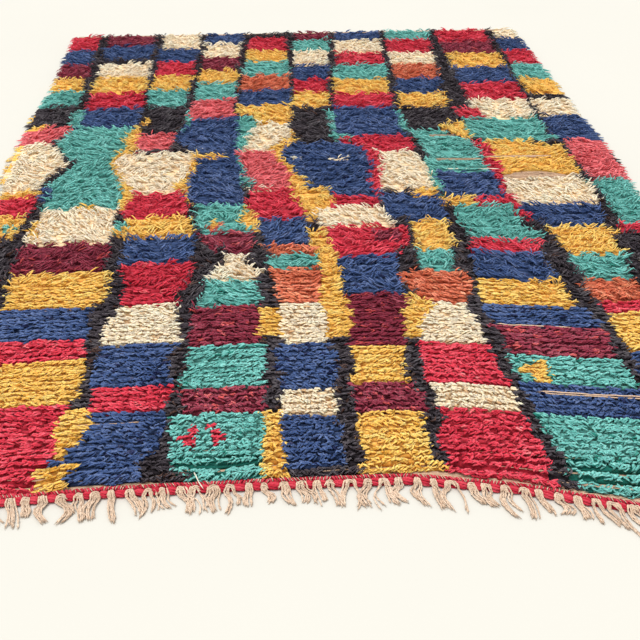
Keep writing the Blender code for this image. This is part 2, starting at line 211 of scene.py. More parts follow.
# Small patches inside the blocks: wool, first and last row, left and right in centimetres
PATCHES = (
    ("red", 5, 5, -25.8, -24.4), ("red", 6, 6, -26.3, -24.3), ("red", 7, 7, -26.0, -24.5),
    ("red", 8, 8, -25.2, -23.8), ("red", 5, 5, -21.9, -20.6), ("red", 6, 6, -21.8, -20.4),
    ("red", 7, 7, -22.3, -21.0), ("red", 8, 8, -22.9, -21.4),
    ("teal", 60, 61, -68.5, -65.5),
    ("yellow", 75, 80, -77, -72.6), ("yellow", 83, 86, -77, -73.0), ("yellow", 88, 90, -77, -72.4),
    ("yellow", 92, 94, -77, -72.0),
    ("yellow", 106, 109, -77, -73.4),
    ("yellow", 102, 103, -73, -69),
    ("teal", 103, 110, -63.4, -60.3),
    ("yellow", 57, 61, -62.6, -60.6),
    ("yellow", 66, 67, -53.5, -50.0),
    ("teal", 58, 61, -44.8, -42.2),
    ("yellow", 103, 105, -43.9, -41.6),
    ("black", 47, 51, -22.6, -20.9),
    ("coral", 58, 59, -25.0, -21.5),
    ("yellow", 59, 60, -24.4, -22.8),
    ("yellow", 86, 87, -28.5, -22.5),
    ("cream", 72, 72, -16.6, -10.5),
    ("cream", 85, 85, -5.0, -3.2),
    ("cream", 84, 84, 4.0, 8.0),
    ("yellow", 66, 71, -1.8, 2.8),
    ("maroon", 53, 56, 10.4, 15.6),
    ("red", 92, 93, 6.6, 9.8),
    ("yellow", 69, 71, 21.5, 26.6),
    ("yellow", 66, 68, 26.9, 34.6),
    ("yellow", 17, 18, 31.8, 34.2), ("yellow", 19, 20, 30.4, 34.8), ("yellow", 21, 21, 32.0, 34.4),
    ("teal", 95, 97, 26.0, 35.0),
    ("yellow", 96, 97, 35.6, 38.8), ("yellow", 98, 99, 33.6, 39.2), ("yellow", 100, 101, 36.8, 40.4),
    ("black", 91, 92, 55.7, 63.0),
    ("black", 83, 86, 72.9, 78),
    # Tan knots where the cream lies under the yellow's edge: painted shade
    ("cream*", 77, 77, 45.5, 57.0), ("cream*", 76, 76, 45.5, 51.0),
    ("red", 104, 108, 40.0, 46.8),
)
PATCH_SLIP = 0.003          # how far a patch's sides stray
SLIVER = 0.004              # what is left of a run beside a patch has at least this width
# Weft that shows where two rows part: the furrow after this row, left and right in centimetres, how far
# the rows part, how much more they do in the middle, how high the pile before it stands, all in
# millimetres, and the threads' shade: over 1 it is white, low shades are partly painted shade in the
# furrow, and at 0 no thread is laid and the roots beside the gap are dark, a painted shade
PARTINGS = (
    (9, -44, -33, 1.2, 0.0, 14.0, 0.04),
    (14, 31, 49, 2.4, 0.0, 16.0, 0.84),
    (29, 28.5, 43, 1.4, 0.0, 16.0, 0.84),
    (1, -25.0, -14.4, 3.0, 0.0, 12.0, 0.0),
    (2, -48.6, -44.4, 2.2, 0.0, 13.0, 0.0),
    (0, 14, 36, 2.5, 0.0, 12.0, 0.0),
    # Under the yellow's edge the web's threads take their darkest shade, partly painted shade
    (77, 43.5, 60.0, 3.0, 20.0, 5.5, 0.04),
    (79, 30.6, 44.0, 1.6, 0.0, 14.0, 1.60),
    (83, 29, 41, 2.0, 0.0, 13.0, 0.10),
    (84, 41, 59, 3.2, 2.4, 13.0, 0.10),
    (94, 30, 37, 1.8, 0.0, 14.0, 0.10),
)
# Blocks whose dye came out darker: first and last row, left and right in centimetres, and how much
DARK_LOTS = (
    (24, 36, -0.5, 12.5, 0.60),
    (25, 34, -27.5, -13.0, 0.22),
    (38, 46, -42.0, -28.0, 0.40),
    (46, 54, -63.0, -44.0, 0.25),
    (54, 65, 27.0, 46.0, 0.32),
    (60, 75, 61.0, 78.0, 0.34),
)
BLEND_FROM, BLEND_TO = 28.0, 47.0   # rows over which the flat lying near pile turns into loose shag
WOOLS = ("red", "maroon", "blue", "teal", "yellow", "cream", "black", "coral")
CREAM = WOOLS.index("cream")
# The share of each wool's knots that are in its second dye. Near it is half as much again, and far less
FLECKS = (0.006, 0.07, 0.04, 0.03, 0.10, 0.025, 0.06, 0.15)
MAP = "OFBake"              # a strand's own map: its shade across, and root to tip along
MAP_HALF = 0.004            # half a strand's width on that map
PER_WIDTH = 125.0           # so that one wave fits across a strand there
# Across the map, the main dye lies from dark to light in the left half and the second in the right half
SHADES_FROM, SHADES_WIDE, SECOND_DYE = 0.03, 0.44, 0.5

# How a knot's ends lie, at their four stations from root to tip
STATIONS = np.array((0.0, 0.26, 0.70, 1.0))
KNOT_STRAY = 0.0010                                 # how far a knot is off its even place along the row
OUT_WITHIN, OUT_CHANCE = 0.010, 0.6                 # beside another wool most ends lie towards it,
RIM_WITHIN, RIM_CHANCE = 0.020, 0.9                 # and at the cloth's sides nearly all lie out
STRAYS, STRAYS_MORE_FAR = 0.05, 0.15                # the share of ends that lie their own way
LOCK_WIDTH, LOCKS_FROM = 0.0140, 0.45               # a lock of loose wool, and how loose the pile is by then
# Near, in degrees round the row's middle line: 0 is on top and -90 in front
BEFORE, OVER, TURN_SPREAD = -30.0, 24.0, 16.0
HANGING, HANGING_TURN = 0.55, (-118.0, -70.0)       # the share of the first row that hangs down in front
SWEEP, SWEEP_LIMITS = (42.0, 24.0), (-15.0, 80.0)   # how far an end winds round the row
# Far: each station's share of the height, of the way to its lock's middle, and of its own stray
RISE, DRAWN = np.array((0.05, 0.56, 0.90, 0.86)), np.array((0.1, 0.35, 0.85, 1.05))
SCATTER = np.array((1.0, 0.8, 0.6, 0.5))
BEND = np.array((-0.6, 0.9, 0.9, -1.1))             # how an end curves, near and far
CREAM_THICKER = 1.14
# On the strand map far roots are lifted this much, so less painted root shade shows on them, and near, cream
# is drawn down into more of it
LIFT, CREAM_LIFT, CREAM_NEAR = 0.20, 0.55, 0.42
# Pale wool's painted root shade is browner: it takes this much red, green and blue away
ROOT_SHADE_TINT = (0.14, 0.20, 0.28)                      # how much red, green and blue pale wool's roots lose
FIRST_ROW_DENSER = 1.7
LAST_ROWS_FEWER = 105       # how many fewer ends each metre of the last rows has than other far rows
WIDEST_ROW = 1.7            # how much wider a row may be where the near end swings out
# How far the first row slips down over the web at its left end, and each stretch of x that adds to it
SLIP = 0.0062
SLIP_STEPS = ((0.00, 0.06, -0.0060), (0.12, 0.20, 0.0030), (0.26, 0.34, -0.0066))
SLIP_BACK = (-0.36, 0.07, 0.0068)                   # a place where it slips less: x, half width and how far
SLIP_WAVES = 0.0032                                 # how far it comes and goes by chance
SLIP_ROWS = (1.0, 0.66, 0.30, 0.08)                 # each of the first rows' share of the slip
TUCK = (-0.20, 0.075, 0.0046)                       # a place where the second row lies over the first
# Roots under the wool: half width and height near, and how much wider and lower they are far
CORE_HALF, CORE_WIDER, CORE_LOWER = 0.0036, 0.0022, 0.0022
FIRST_CORE_HALF, FIRST_CORE_HIGH = 0.0030, 0.0080   # those of the first row
CORE_SINK = 0.0006          # how deep roots stand in the web
ROWS_BESIDE = 3             # rows on each side of a gap that keep off it

# The web, the border and the fringe
WARP_WAVE, WEFT_WAVE = 0.0042, 0.0030               # the web's weave: two threads each way
WEFT_PITCH = 1.7            # millimetres between two weft threads in a gap
NEAR_WEFTS, WEFT_STEP = 5, 0.0026                   # the threads at the web's near end, and how far apart
# One loose end of weft lies out over the border: x, how far in from the web's edge, and height
LOOSE_END = (
    (-0.2430, 0.0110, 0.0150), (-0.2395, 0.0010, 0.0165), (-0.2340, -0.0120, 0.0135),
    (-0.2270, -0.0240, 0.0110),
)
UPPER_OUT, LOWER_OUT = 0.0052, 0.0150               # the border's two rows, out from the web's edge
ROW_HALF = 0.0042           # half the width of what each is wrapped round
# The stations of a warp end over its knot: how far out from the web, height, how wide the bunch is there,
# and how much of its own stray and of its later spread each end has by then
KNOT_STEPS = (
    (0.0118, 0.0056, 0.0016, 0.8, 0.0),
    (0.0136, 0.0090, 0.0028, 1.2, 0.0),
    (0.0178, 0.0096, 0.0044, 1.4, 0.0),
    (0.0214, 0.0070, 0.0056, 1.3, 0.05),
    (0.0250, 0.0034, 0.0062, 1.1, 0.15),
)
UNDYED_TIP = (236, 226, 205)                        # the paler dye of undyed yarn

rng = np.random.default_rng(23)


# The shape of the cloth

def smooth(low, high, value):
    """Rises from 0 at low to 1 at high, level at both."""
    share = np.clip((value - low) / (high - low), 0.0, 1.0)
    return share * share * (3.0 - 2.0 * share)


def bow(x):
    """How far the near end lies out towards -Y at x."""
    right = BOW_RIGHT * smooth(BOW_RIGHT_FROM, BOW_RIGHT_TO, x)
    left = BOW_LEFT * smooth(BOW_LEFT_FROM, BOW_LEFT_TO, x)
    return right + left


def flare(x):
    """How much farther the very edge of the near end lies out at x."""
    right = FLARE_RIGHT * smooth(FLARE_RIGHT_FROM, FLARE_RIGHT_TO, x)
    left = FLARE_LEFT * smooth(FLARE_LEFT_FROM, FLARE_LEFT_TO, x)
    return right + left


def row_y(level, x):
    """A row's Y at x. The bow of the near end fades out along the rug, and its flare over a few rows."""
    share = np.clip((level - PILE_NEAR) / (PILE_FAR - PILE_NEAR), 0.0, 1.0)
    return level - bow(x) * (1.0 - share) - flare(x) * (1.0 - smooth(0.0, FLARE_DEPTH, level - PILE_NEAR))


def row_stretch(level, x):
    """How much wider a row is at x than most rows are."""
    half = ROW_PITCH / 2
    return np.clip((row_y(level + half, x) - row_y(level - half, x)) / ROW_PITCH, 1.0, WIDEST_ROW)


def near_edge(x):
    """The Y of the web's near edge at x, straight between the web's points."""
    return EDGE_NEAR - np.interp(x, WEB_PLACES, bow(WEB_PLACES) + flare(WEB_PLACES))


def side_wander(y):
    """How far the cloth's sides lie off their straight line at y."""
    return SIDE_WANDER * np.sin(2 * np.pi * SIDE_WAVES * y / LENGTH)


def swell(x, y):
    """How far the cloth lies above the floor at a place."""
    rise = 0.0
    for centre_x, centre_y, half_width, half_length, height in SWELLS:
        off = ((x - centre_x) / half_width) ** 2 + ((y - centre_y) / half_length) ** 2
        rise = rise + height * np.exp(-off)
    return rise


def waves(x, y, size, seed):
    """A slow, even wandering between about -1 and 1, whose bumps are about size across."""
    draw = np.random.default_rng(seed)
    total = 0.0
    turns, phases, stretches = draw.uniform(0, np.pi, 6), draw.uniform(0, 6.28, 6), draw.uniform(0.6, 1.5, 6)
    for turn, phase, stretch in zip(turns, phases, stretches):
        total = total + np.sin((x * np.cos(turn) + y * np.sin(turn)) * np.pi / (size * stretch) + phase)
    return total / 3.0


# Meshes

def placed(mesh, material):
    """An object of this mesh, smooth and in its material, at the origin."""
    mesh.shade_smooth()
    mesh.materials.append(material)
    thing = bpy.data.objects.new(mesh.name, mesh)
    bpy.context.collection.objects.link(thing)
    return thing


def shade_place(share, second=0.0):
    """The place across the strand map of a shade between dark, 0, and light, 1."""
    return SHADES_FROM + SECOND_DYE * second + SHADES_WIDE * share


class Heap:
    """Gathers many small closed shapes, with their places on the strand map, into one mesh."""

    def __init__(self):
        self.points, self.corners, self.sizes, self.places = [], [], [], []
        self.count = 0

    def add(self, points, corners, sizes, places):
        """Adds points, the corners of all faces, the faces' sizes and the corners' places on the map."""
        self.points.append(points.reshape(-1, 3))
        self.corners.append(corners.ravel() + self.count)
        self.sizes.append(sizes.ravel())
        self.places.append(places.reshape(-1, 2))
        self.count += len(self.points[-1])

    def piece(self, name, material):
        """One object of all that was added, at the origin."""
        points, corners = np.concatenate(self.points), np.concatenate(self.corners)
        sizes, places = np.concatenate(self.sizes), np.concatenate(self.places)
        mesh = bpy.data.meshes.new(name)
        mesh.vertices.add(len(points))
        mesh.vertices.foreach_set("co", points.astype(np.float32).ravel())
        mesh.loops.add(len(corners))
        mesh.loops.foreach_set("vertex_index", corners.astype(np.int32))
        mesh.polygons.add(len(sizes))
        starts = np.concatenate(([0], np.cumsum(sizes)[:-1]))
        mesh.polygons.foreach_set("loop_start", starts.astype(np.int32))
        mesh.uv_layers.new(name=MAP)
        mesh.uv_layers[MAP].data.foreach_set("uv", places.astype(np.float32).ravel())
        mesh.update(calc_edges=True)
        mesh.validate()
        return placed(mesh, material)


def add_strands(heap, paths, thick, sides, shade, along):
    """Closed strands, each pointed at both ends.

    paths is strands x stations x 3, thick the radius at each station, shade each strand's place across
    the map, and along each station's place from root to tip.
    """
    number, stations = paths.shape[:2]
    rings = stations - 2
    heading = np.gradient(paths, axis=1)
    heading /= np.maximum(np.linalg.norm(heading, axis=2, keepdims=True), 1e-9)
    side = np.cross(heading, (0.02, 0.03, 1.0))
    side /= np.maximum(np.linalg.norm(side, axis=2, keepdims=True), 1e-9)
    over = np.cross(heading, side)
    angles = np.pi / 2 + 2 * np.pi * np.arange(sides) / sides
    round_ = (
        side[:, 1:-1, None] * np.cos(angles)[:, None] + over[:, 1:-1, None] * np.sin(angles)[:, None]
    )
    tube = paths[:, 1:-1, None] + round_ * np.broadcast_to(thick, (number, stations))[:, 1:-1, None, None]
    points = np.concatenate((paths[:, :1], tube.reshape(number, -1, 3), paths[:, -1:]), axis=1)

    each = np.arange(sides)
    after = (each + 1) % sides
    first, last = 1, 1 + (rings - 1) * sides
    root = np.stack((np.zeros(sides, int), first + after, first + each), axis=1)
    walls = [
        np.stack((base + each, base + after, base + sides + after, base + sides + each), axis=1)
        for base in range(first, last, sides)
    ]
    tip = np.stack((last + each, last + after, np.full(sides, 1 + rings * sides)), axis=1)
    pattern = np.concatenate([root.ravel()] + [wall.ravel() for wall in walls] + [tip.ravel()])
    sizes = np.array([3] * sides + [4] * sides * (rings - 1) + [3] * sides)
    corners = np.arange(number)[:, None] * points.shape[1] + pattern

    along = np.broadcast_to(along, (number, stations))
    across = np.concatenate(
        [np.tile((0, 1, -1), sides)]
        + [np.tile((-1, 1, 1, -1), sides)] * (rings - 1)
        + [np.tile((-1, 1, 0), sides)]
    )
    station = np.concatenate(
        [np.tile((0, 1, 1), sides)]
        + [np.tile((ring, ring, ring + 1, ring + 1), sides) for ring in range(1, rings)]
        + [np.tile((rings, rings, rings + 1), sides)]
    )
    places = np.stack((shade[:, None] + MAP_HALF * across, along[:, station]), axis=2)
    heap.add(points, corners, np.tile(sizes, (number, 1)), places)


def add_strand(heap, path, thick, shade, along):
    """One closed strand with four sides."""
    add_strands(heap, path[None], thick, 4, np.array([shade]), along)


def add_rod(heap, section, centres, shade):
    """A closed rod: section is its outline in Y and Z, alike or one for each of the centres it stands on."""
    section = np.broadcast_to(section, (len(centres), *section.shape[-2:]))
    count, size = section.shape[:2]
    points = centres[:, None] + np.concatenate((np.zeros((count, size, 1)), section), axis=2)
    each = np.arange(size)
    after = (each + 1) % size
    walls = np.concatenate([
        np.stack((base + each, base + size + each, base + size + after, base + after), axis=1)
        for base in range(0, (count - 1) * size, size)
    ])
    ends = np.concatenate((each, (count - 1) * size + each[::-1]))
    wall_map = np.tile(((-1, 0.02), (1, 0.02), (1, 0.14), (-1, 0.14)), (len(walls), 1))
    turn = 2 * np.pi * each / size
    end_map = np.tile(np.column_stack((np.cos(turn), 0.06 + 0.04 * np.sin(turn))), (2, 1))
    places = np.concatenate((wall_map, end_map)) * (MAP_HALF, 1) + (shade, 0)
    heap.add(
        points, np.concatenate((walls.ravel(), ends)), np.array([4] * len(walls) + [size, size]), places
    )


# Shaders

class Value:
    """A socket that can be added, multiplied and so on with numbers and other sockets."""

    def __init__(self, graph, socket):
        self.graph, self.socket = graph, socket

    def maths(self, operation, *values):
        return self.graph.node("ShaderNodeMath", {"operation": operation}, dict(enumerate(values)))

    def __add__(self, other):
        return self.maths("ADD", self, other)

    def __radd__(self, other):
        return self.maths("ADD", other, self)

    def __mul__(self, other):
        return self.maths("MULTIPLY", self, other)

    def __rmul__(self, other):
        return self.maths("MULTIPLY", other, self)

    def sine(self):
        return self.maths("SINE", self)


class Graph:
    """A material's node tree, with one call for every kind of node."""

    def __init__(self, name):
        self.material = bpy.data.materials.new(name)
        self.material.use_nodes = True
        self.tree = self.material.node_tree
        self.shader = self.tree.nodes["Principled BSDF"]

    def node(self, kind, settings=None, inputs=None, output=0):
        """Adds a node, gives it its settings, then the values or links of its sockets."""
        node = self.tree.nodes.new(kind)
        for key, value in (settings or {}).items():
            if key == "stops":
                ramp = node.color_ramp
                while len(ramp.elements) < len(value):
                    ramp.elements.new(0.5)
                for element, (place, colour) in zip(ramp.elements, value):
                    element.position, element.color = place, (*colour, 1.0)
            else:
                setattr(node, key, value)
        for key, value in (inputs or {}).items():
            if isinstance(value, Value):
                self.tree.links.new(value.socket, node.inputs[key])
            else:
                node.inputs[key].default_value = value
        return Value(self, node.outputs[output])

    def ramp(self, value, *stops):
        return self.node("ShaderNodeValToRGB", {"stops": stops}, {"Fac": value})

    def noise(self, place, scale, detail):
        return self.node("ShaderNodeTexNoise", None, {"Vector": place, "Scale": scale, "Detail": detail})

    def vector(self, x, y):
        return self.node("ShaderNodeCombineXYZ", None, {0: x, 1: y})

    def parts(self, place):
        return [self.node("ShaderNodeSeparateXYZ", None, {0: place}, output) for output in range(3)]

    def scaled(self, colour, factor):
        """A colour made lighter or darker."""
        return self.node("ShaderNodeVectorMath", {"operation": "SCALE"}, {0: colour, "Scale": factor})

    def ply(self, across, along, twists):
        """Slanting waves over a strand, as of two plies with so many twists."""
        return (across * (2 * math.pi * PER_WIDTH) + along * (2 * math.pi * twists)).sine()

    def finish(self, colour, height=None, distance=0.001, roughness=1.0, specular=0.06, soft=0.0, deep=1.0):
        """Feeds the shader and returns the material."""
        inputs = self.shader.inputs
        self.tree.links.new(colour.socket, inputs["Base Color"])
        inputs["Roughness"].default_value = roughness
        inputs["Specular IOR Level"].default_value = specular
        inputs["Subsurface Weight"].default_value = soft
        inputs["Subsurface Radius"].default_value = (0.0028, 0.0026, 0.0024)
        inputs["Subsurface Scale"].default_value = deep
        if height is not None:
            bump = {"Height": height, "Distance": distance, "Strength": 0.6}
            self.tree.links.new(self.node("ShaderNodeBump", None, bump).socket, inputs["Normal"])
        return self.material


def linear(colour):
    """A screen colour from 0 to 255 as the linear one that shaders take."""
    share = np.array(colour) / 255.0
    return tuple(np.where(share <= 0.04045, share / 12.92, ((share + 0.055) / 1.055) ** 2.4))


def shades(colour, spread=1.0):
    """The dark, middle and light linear shades of one dye. Pale dyes spread less, and dark are fuller. The
    light shade is partly a paler tone of the dye and partly a painted sheen: a little white is mixed in.
    """
    middle = np.array(linear(colour))
    full = middle ** 1.10 * middle.max() ** -0.10
    deep = 1.0 - spread * (0.40 - 0.38 * middle.mean())
    pale = middle * (1.0 + 0.15 * spread) + 0.042 * spread
    return tuple(full * deep), tuple(middle), tuple(np.minimum(pale, 0.96))


def strand_dyes(graph, across, main, second):
    """The colour across the strand map: the main dye's three shades, then the second's."""
    return graph.ramp(across, *zip((0.02, 0.25, 0.47, 0.53, 0.75, 0.97), main + second))


def wool_material(name, main, second):
    """Hand spun wool."""
    graph = Graph(name)
    across, along, _ = graph.parts(graph.node("ShaderNodeUVMap", {"uv_map": MAP}))
    paleness = float(np.mean(linear(main)))
    pale = float(smooth(0.50, 0.75, paleness))
    dye = strand_dyes(graph, across, shades(main, 1.0 - 0.5 * pale), shades(second, 1.0 - 0.5 * pale))
    fibres = graph.noise(graph.vector(across * 560.0, along * 7.0), 1.0, 4.0)
    ply = graph.ply(across, along, 4.0)
    # Painted shade: the roots are darker, and in pale wool browner. The tips are lighter, a painted highlight
    root = (0.41 + 0.80 * paleness) * (1.0 - pale * np.array(ROOT_SHADE_TINT))
    tip = 1.17 - 0.1 * pale
    root_shade_and_tip_highlight = graph.ramp(
        along, (0.0, tuple(root)), (0.34, tuple(0.4 * root + 0.6)), (0.64, (1.0,) * 3), (1.0, (tip,) * 3)
    )
    contrast = 1.08 - 0.52 * pale
    colour = graph.node("ShaderNodeVectorMath", {"operation": "MULTIPLY"}, {0: dye, 1: root_shade_and_tip_highlight})
    # The plies' waves make the colour a little darker in the grooves between plies and lighter on their
    # crests: painted shade and highlight
    colour = graph.scaled(colour, 0.98 - 0.5 * contrast + contrast * fibres + 0.05 * ply)
    return graph.finish(colour, fibres * 0.6 + ply * 0.5, 0.0007, soft=0.30 + 0.45 * paleness,
                        deep=0.8 + 3.0 * max(paleness - 0.4, 0.0))


def yarn_material(name, main, second, twists):
    """Smoother plied yarn, as in the border and the warp ends."""
    graph = Graph(name)
    across, along, _ = graph.parts(graph.node("ShaderNodeUVMap", {"uv_map": MAP}))
    dye = strand_dyes(graph, across, shades(main, 0.8), shades(second, 0.6))
    fibres = graph.noise(graph.vector(across * 260.0, along * 14.0), 1.0, 3.0)
    ply = graph.ply(across, along, twists)
    # The plies' waves make the colour a little darker in the grooves between plies and lighter on their
    # crests: painted shade and highlight
    colour = graph.scaled(dye, 0.78 + 0.36 * fibres + 0.09 * ply)
    return graph.finish(colour, fibres * 0.5 + ply * 0.6, 0.0005, soft=0.3)


def web_material(name, main):
    """Plain weave of undyed wool: the weft lies over and under the warp."""
    graph = Graph(name)
    place = graph.node("ShaderNodeTexCoord", output=3)
    x, y, _ = graph.parts(place)
    weave = (x * (2 * math.pi / WARP_WAVE)).sine() * (y * (2 * math.pi / WEFT_WAVE)).sine()
    blotch = graph.noise(place, 60.0, 4.0)
    grain = graph.noise(place, 900.0, 2.0)
    dark, middle, light = shades(main)
    dye = graph.ramp(blotch, (0.30, dark), (0.52, middle), (0.72, light))
    colour = graph.scaled(dye, 0.72 + 0.16 * weave + 0.40 * grain)
    return graph.finish(colour, weave * 0.6 + grain * 0.4, 0.0012)


def floor_material(name, colour):
    """A plain floor that is hardly uneven in tone."""
    graph = Graph(name)
    tone = graph.noise(graph.node("ShaderNodeTexCoord", output=3), 1.5, 2.0)
    base = linear(colour)
    shade = graph.ramp(tone, (0.3, tuple(value * 0.985 for value in base)), (0.7, base))
    return graph.finish(shade, roughness=0.85, specular=0.1)


# The knots of the pile

def dyed(name):
    """A wool's number, and whether it is its second dye, from its name in the chart."""
    return WOOLS.index(name.strip("*")), name.endswith("*")


def stack(blocks):
    """The wool of each row of a column, and whether it is the second dye."""
    rows = [None] * ROWS
    for block in blocks.split(", "):
        wool, first = block.split()
        rows[int(first):] = [dyed(wool)] * (ROWS - int(first))
    return rows


def line_wools(blocks):
    """The wool of each row of the line between two columns."""
    rows = [dyed("black")] * ROWS
    for block in filter(None, blocks.split(", ")):
        wool, span = block.split()
        first, last = map(int, span.split("-"))
        rows[first:last] = [dyed(wool)] * (last - first)
    return rows


def chart_rows():
    """Each row's runs of one wool, as (row, left, right, wool, second dye), from left to right."""
    every = np.arange(ROWS)
    blocks = [stack(column) for _, column in COLUMNS]
    lines = [line_wools(line) for line in LINES]
    borders = []
    for sides, _ in COLUMNS:
        at, left, right = np.array(sides).T
        for values in (left, right):
            jump = rng.normal(0.0, SIDE_JUMP, ROWS)
            jump = jump + SIDE_SWING * waves(every, 0.0, SIDE_SWING_ROWS, len(borders) + 1)
            borders.append(np.interp(every, at, values) / 100 + jump)
    runs = []
    for row in every:
        cuts, wools = [], []
        for number, column in enumerate(blocks):
            cuts.append(borders[2 * number][row])
            wools.append(column[row])
            if number < len(lines):
                cuts.append(borders[2 * number + 1][row])
                wools.append(lines[number][row])
        wander = side_wander(PILE_NEAR + (row + 0.5) * ROW_PITCH)
        cuts = np.maximum.accumulate(np.array(cuts))
        bulge = smooth(*BULGE_LEFT_FROM, row) * (1 - smooth(*BULGE_LEFT_TO, row))
        cuts[0] = -CLOTH_HALF + wander - RIM_KNOTS - BULGE_LEFT * bulge
        bulge = smooth(*BULGE_RIGHT_FROM, row) * (1 - smooth(*BULGE_RIGHT_TO, row))
        ends = np.append(cuts[1:], CLOTH_HALF + wander + RIM_KNOTS + BULGE_RIGHT * bulge)
        spans = [span for span in zip(cuts, ends, wools) if span[1] - span[0] > NARROWEST]
        for wool, first, last, left, right in PATCHES:
            if first <= row <= last:
                slip = rng.normal(0.0, PATCH_SLIP, 2)
                spans = lay_patch(spans, left / 100 + slip[0], right / 100 + slip[1], dyed(wool))
        merged = []
        for left, right, wool in spans:
            if merged and merged[-1][2] == wool:
                merged[-1][1] = right
            else:
                merged.append([left if not merged else merged[-1][1], right, wool])
        runs += [(row, left, right, *wool) for left, right, wool in merged]
    return np.array(runs, float)


def lay_patch(spans, left, right, wool):
    """The row's spans with a patch of another wool laid over them."""
    kept = []
    for start, end, own in spans:
        if end <= left or start >= right:
            kept.append((start, end, own))
            continue
        if start < left - SLIVER:
            kept.append((start, left, own))
        kept.append((max(start, left), min(end, right), wool))
        if end > right + SLIVER:
            kept.append((right, end, own))
    return kept


def gap_sides(furrow, left, right, gap, arch, x):
    """The near and far side of a gap between two rows at x, and how far x lies inside it, from 0 to 1."""
    left, right = left / 100, right / 100
    inside = smooth(left - 0.010, left + 0.015, x) * (1 - smooth(right - 0.015, right + 0.010, x))
    bend = np.clip(1 - ((x - (left + right) / 2) / ((right - left) / 2)) ** 2, 0, 1)
    middle = row_y(PILE_NEAR + (furrow + 1) * ROW_PITCH, x)
    return middle - gap / 2000 + 0.35 * arch / 1000 * bend, middle + gap / 2000 + arch / 1000 * bend, inside


def part_rows(row, points):
    """Keeps the wool of the rows on both sides of a gap off the weft that shows there."""
    x, y, z = points[..., 0], points[..., 1], points[..., 2]
    row = row[:, None]
    for furrow, left, right, gap, arch, high, _ in PARTINGS:
        near, far, inside = gap_sides(furrow, left, right, gap, arch, x)
        before = (row <= furrow) & (row > furrow - ROWS_BESIDE)
        after = (row > furrow) & (row <= furrow + ROWS_BESIDE)
        y = np.where(before, y - inside * np.maximum(y - near, 0), y)
        y = np.where(after, y + inside * np.maximum(far - y, 0), y)
        close = smooth(0.030, 0.010, near - y) * inside
        z = np.where(before, z - close * np.maximum(z - high / 1000, 0), z)
    return np.stack((x, y, z), axis=-1)


def settle(points, room):
    """Lets the wool droop at the cloth's four edges, and keeps it above the web and inside the rug."""
    x, y, z = points[..., 0], points[..., 1], points[..., 2]
    outside = smooth(CLOTH_HALF - 0.012, CLOTH_HALF + 0.030, np.abs(x))
    front = smooth(-0.002, 0.012, near_edge(x) + WEB_NEAR - y)
    back = smooth(PILE_FAR - 0.004, PILE_FAR + 0.026, y)
    drop = np.maximum(np.maximum(outside, front), back)
    on_cloth = (np.abs(x) < CLOTH_HALF) & (y > near_edge(x)) & (y < LENGTH / 2)
    lowest = np.where(on_cloth, WEB_THICK, 0.0) + room
    z = lowest + (np.maximum(z, lowest) - lowest) * (1 - 0.78 * drop)
    z = z + swell(x, y)
    return np.stack((x, y, z), axis=-1)


def near_droop(row, x):
    """How far the first rows slip down over the web, and over the border's upper side in places."""
    slip = SLIP
    for begin, end, more in SLIP_STEPS:
        slip = slip + more * smooth(begin, end, x)
    middle, half, less = SLIP_BACK
    slip = slip - less * np.exp(-(((x - middle) / half) ** 2))
    slip = slip + SLIP_WAVES * waves(x, 0.0, 0.055, 12)
    middle, half, tuck = TUCK
    tuck = tuck * np.exp(-(((x - middle) / half) ** 2)) * (np.abs(row - 1.0) < 0.5)
    return slip * np.interp(row, range(len(SLIP_ROWS)), SLIP_ROWS) + tuck


def groups(row, start, level, wool, loose):
    """Which ends share their way: the two of a knot near, and far the few knots that cling in one lock."""
    cell = np.floor(start / LOCK_WIDTH + 0.37 * row)
    band = np.floor((row + (waves(start, level, 0.10, 37) > 0)) / 2)
    # Each lock, of one wool in two rows, has a number of its own, and each knot one below 0
    lock = (band * 16 + wool) * 4096 + cell
    pair = -1.0 - np.arange(len(row)) // 2
    return np.unique(np.where(loose > LOCKS_FROM, lock, pair), return_inverse=True)[1]


def rope(settings, row, level, start, side, calm):
    """Near: a knot's two ends wind round the row like the plies of a rope, one before and one over it.

    Gives how far each station is off the row's line, and its height.
    """
    count = len(row)
    first = np.arange(count) % 2 == 0
    strays = rng.normal(0.0, 1.0, count) * (0.85 - 0.45 * calm)
    hand = side * np.sign(waves(start, level, 0.11, 29) + strays)
    middle = np.where(first, BEFORE, OVER) + rng.normal(0.0, TURN_SPREAD, count)
    hangs = (row == 0) & (rng.uniform(0.0, 1.0, count) < HANGING)
    middle = np.radians(np.where(hangs, rng.uniform(*HANGING_TURN, count), middle))
    sweep = np.radians(np.clip(rng.normal(*SWEEP, count), *SWEEP_LIMITS)) * hand * (1.0 - 0.28 * calm)
    angle = middle[:, None] + sweep[:, None] * (2.0 * STATIONS - 1.0)
    swing = np.column_stack((
        np.full(count, 0.66), rng.uniform(0.82, 1.12, count), rng.uniform(0.84, 1.18, count),
        rng.uniform(0.74, 1.34, count),
    )) * (1.0 + 0.11 * waves(start, 4.0 * level, 0.05, 71))[:, None]
    off = settings.row_half * row_stretch(level, start)[:, None] * swing * np.sin(angle)
    return off, settings.row_middle + settings.row_high * swing * np.cos(angle)


def shag(settings, level, reach, lean, stray, shared, gathered):
    """Far: the ends rise out of the row aslant, their tips drawn together, and stray ones stand higher.

    Gives how far each station is off the row's line, and its height.
    """
    count = len(level)
    height = np.clip(0.55 + shared(0.24) + rng.uniform(-0.30, 0.30, count), 0.05, 1.0) + 0.25 * stray
    rise = height[:, None] * RISE
    high = settings.core_high - 0.001 + (settings.shag_high - settings.core_high - 0.001) * rise
    high[:, 3] += rng.uniform(-0.0035, 0.0010, count)
    drawn = (gathered(level) - level) * ~stray
    off = (reach * np.sin(lean))[:, None] * STATIONS + drawn[:, None] * DRAWN
    off += rng.uniform(-0.0032, 0.0032, count)[:, None] * SCATTER
    return off, high


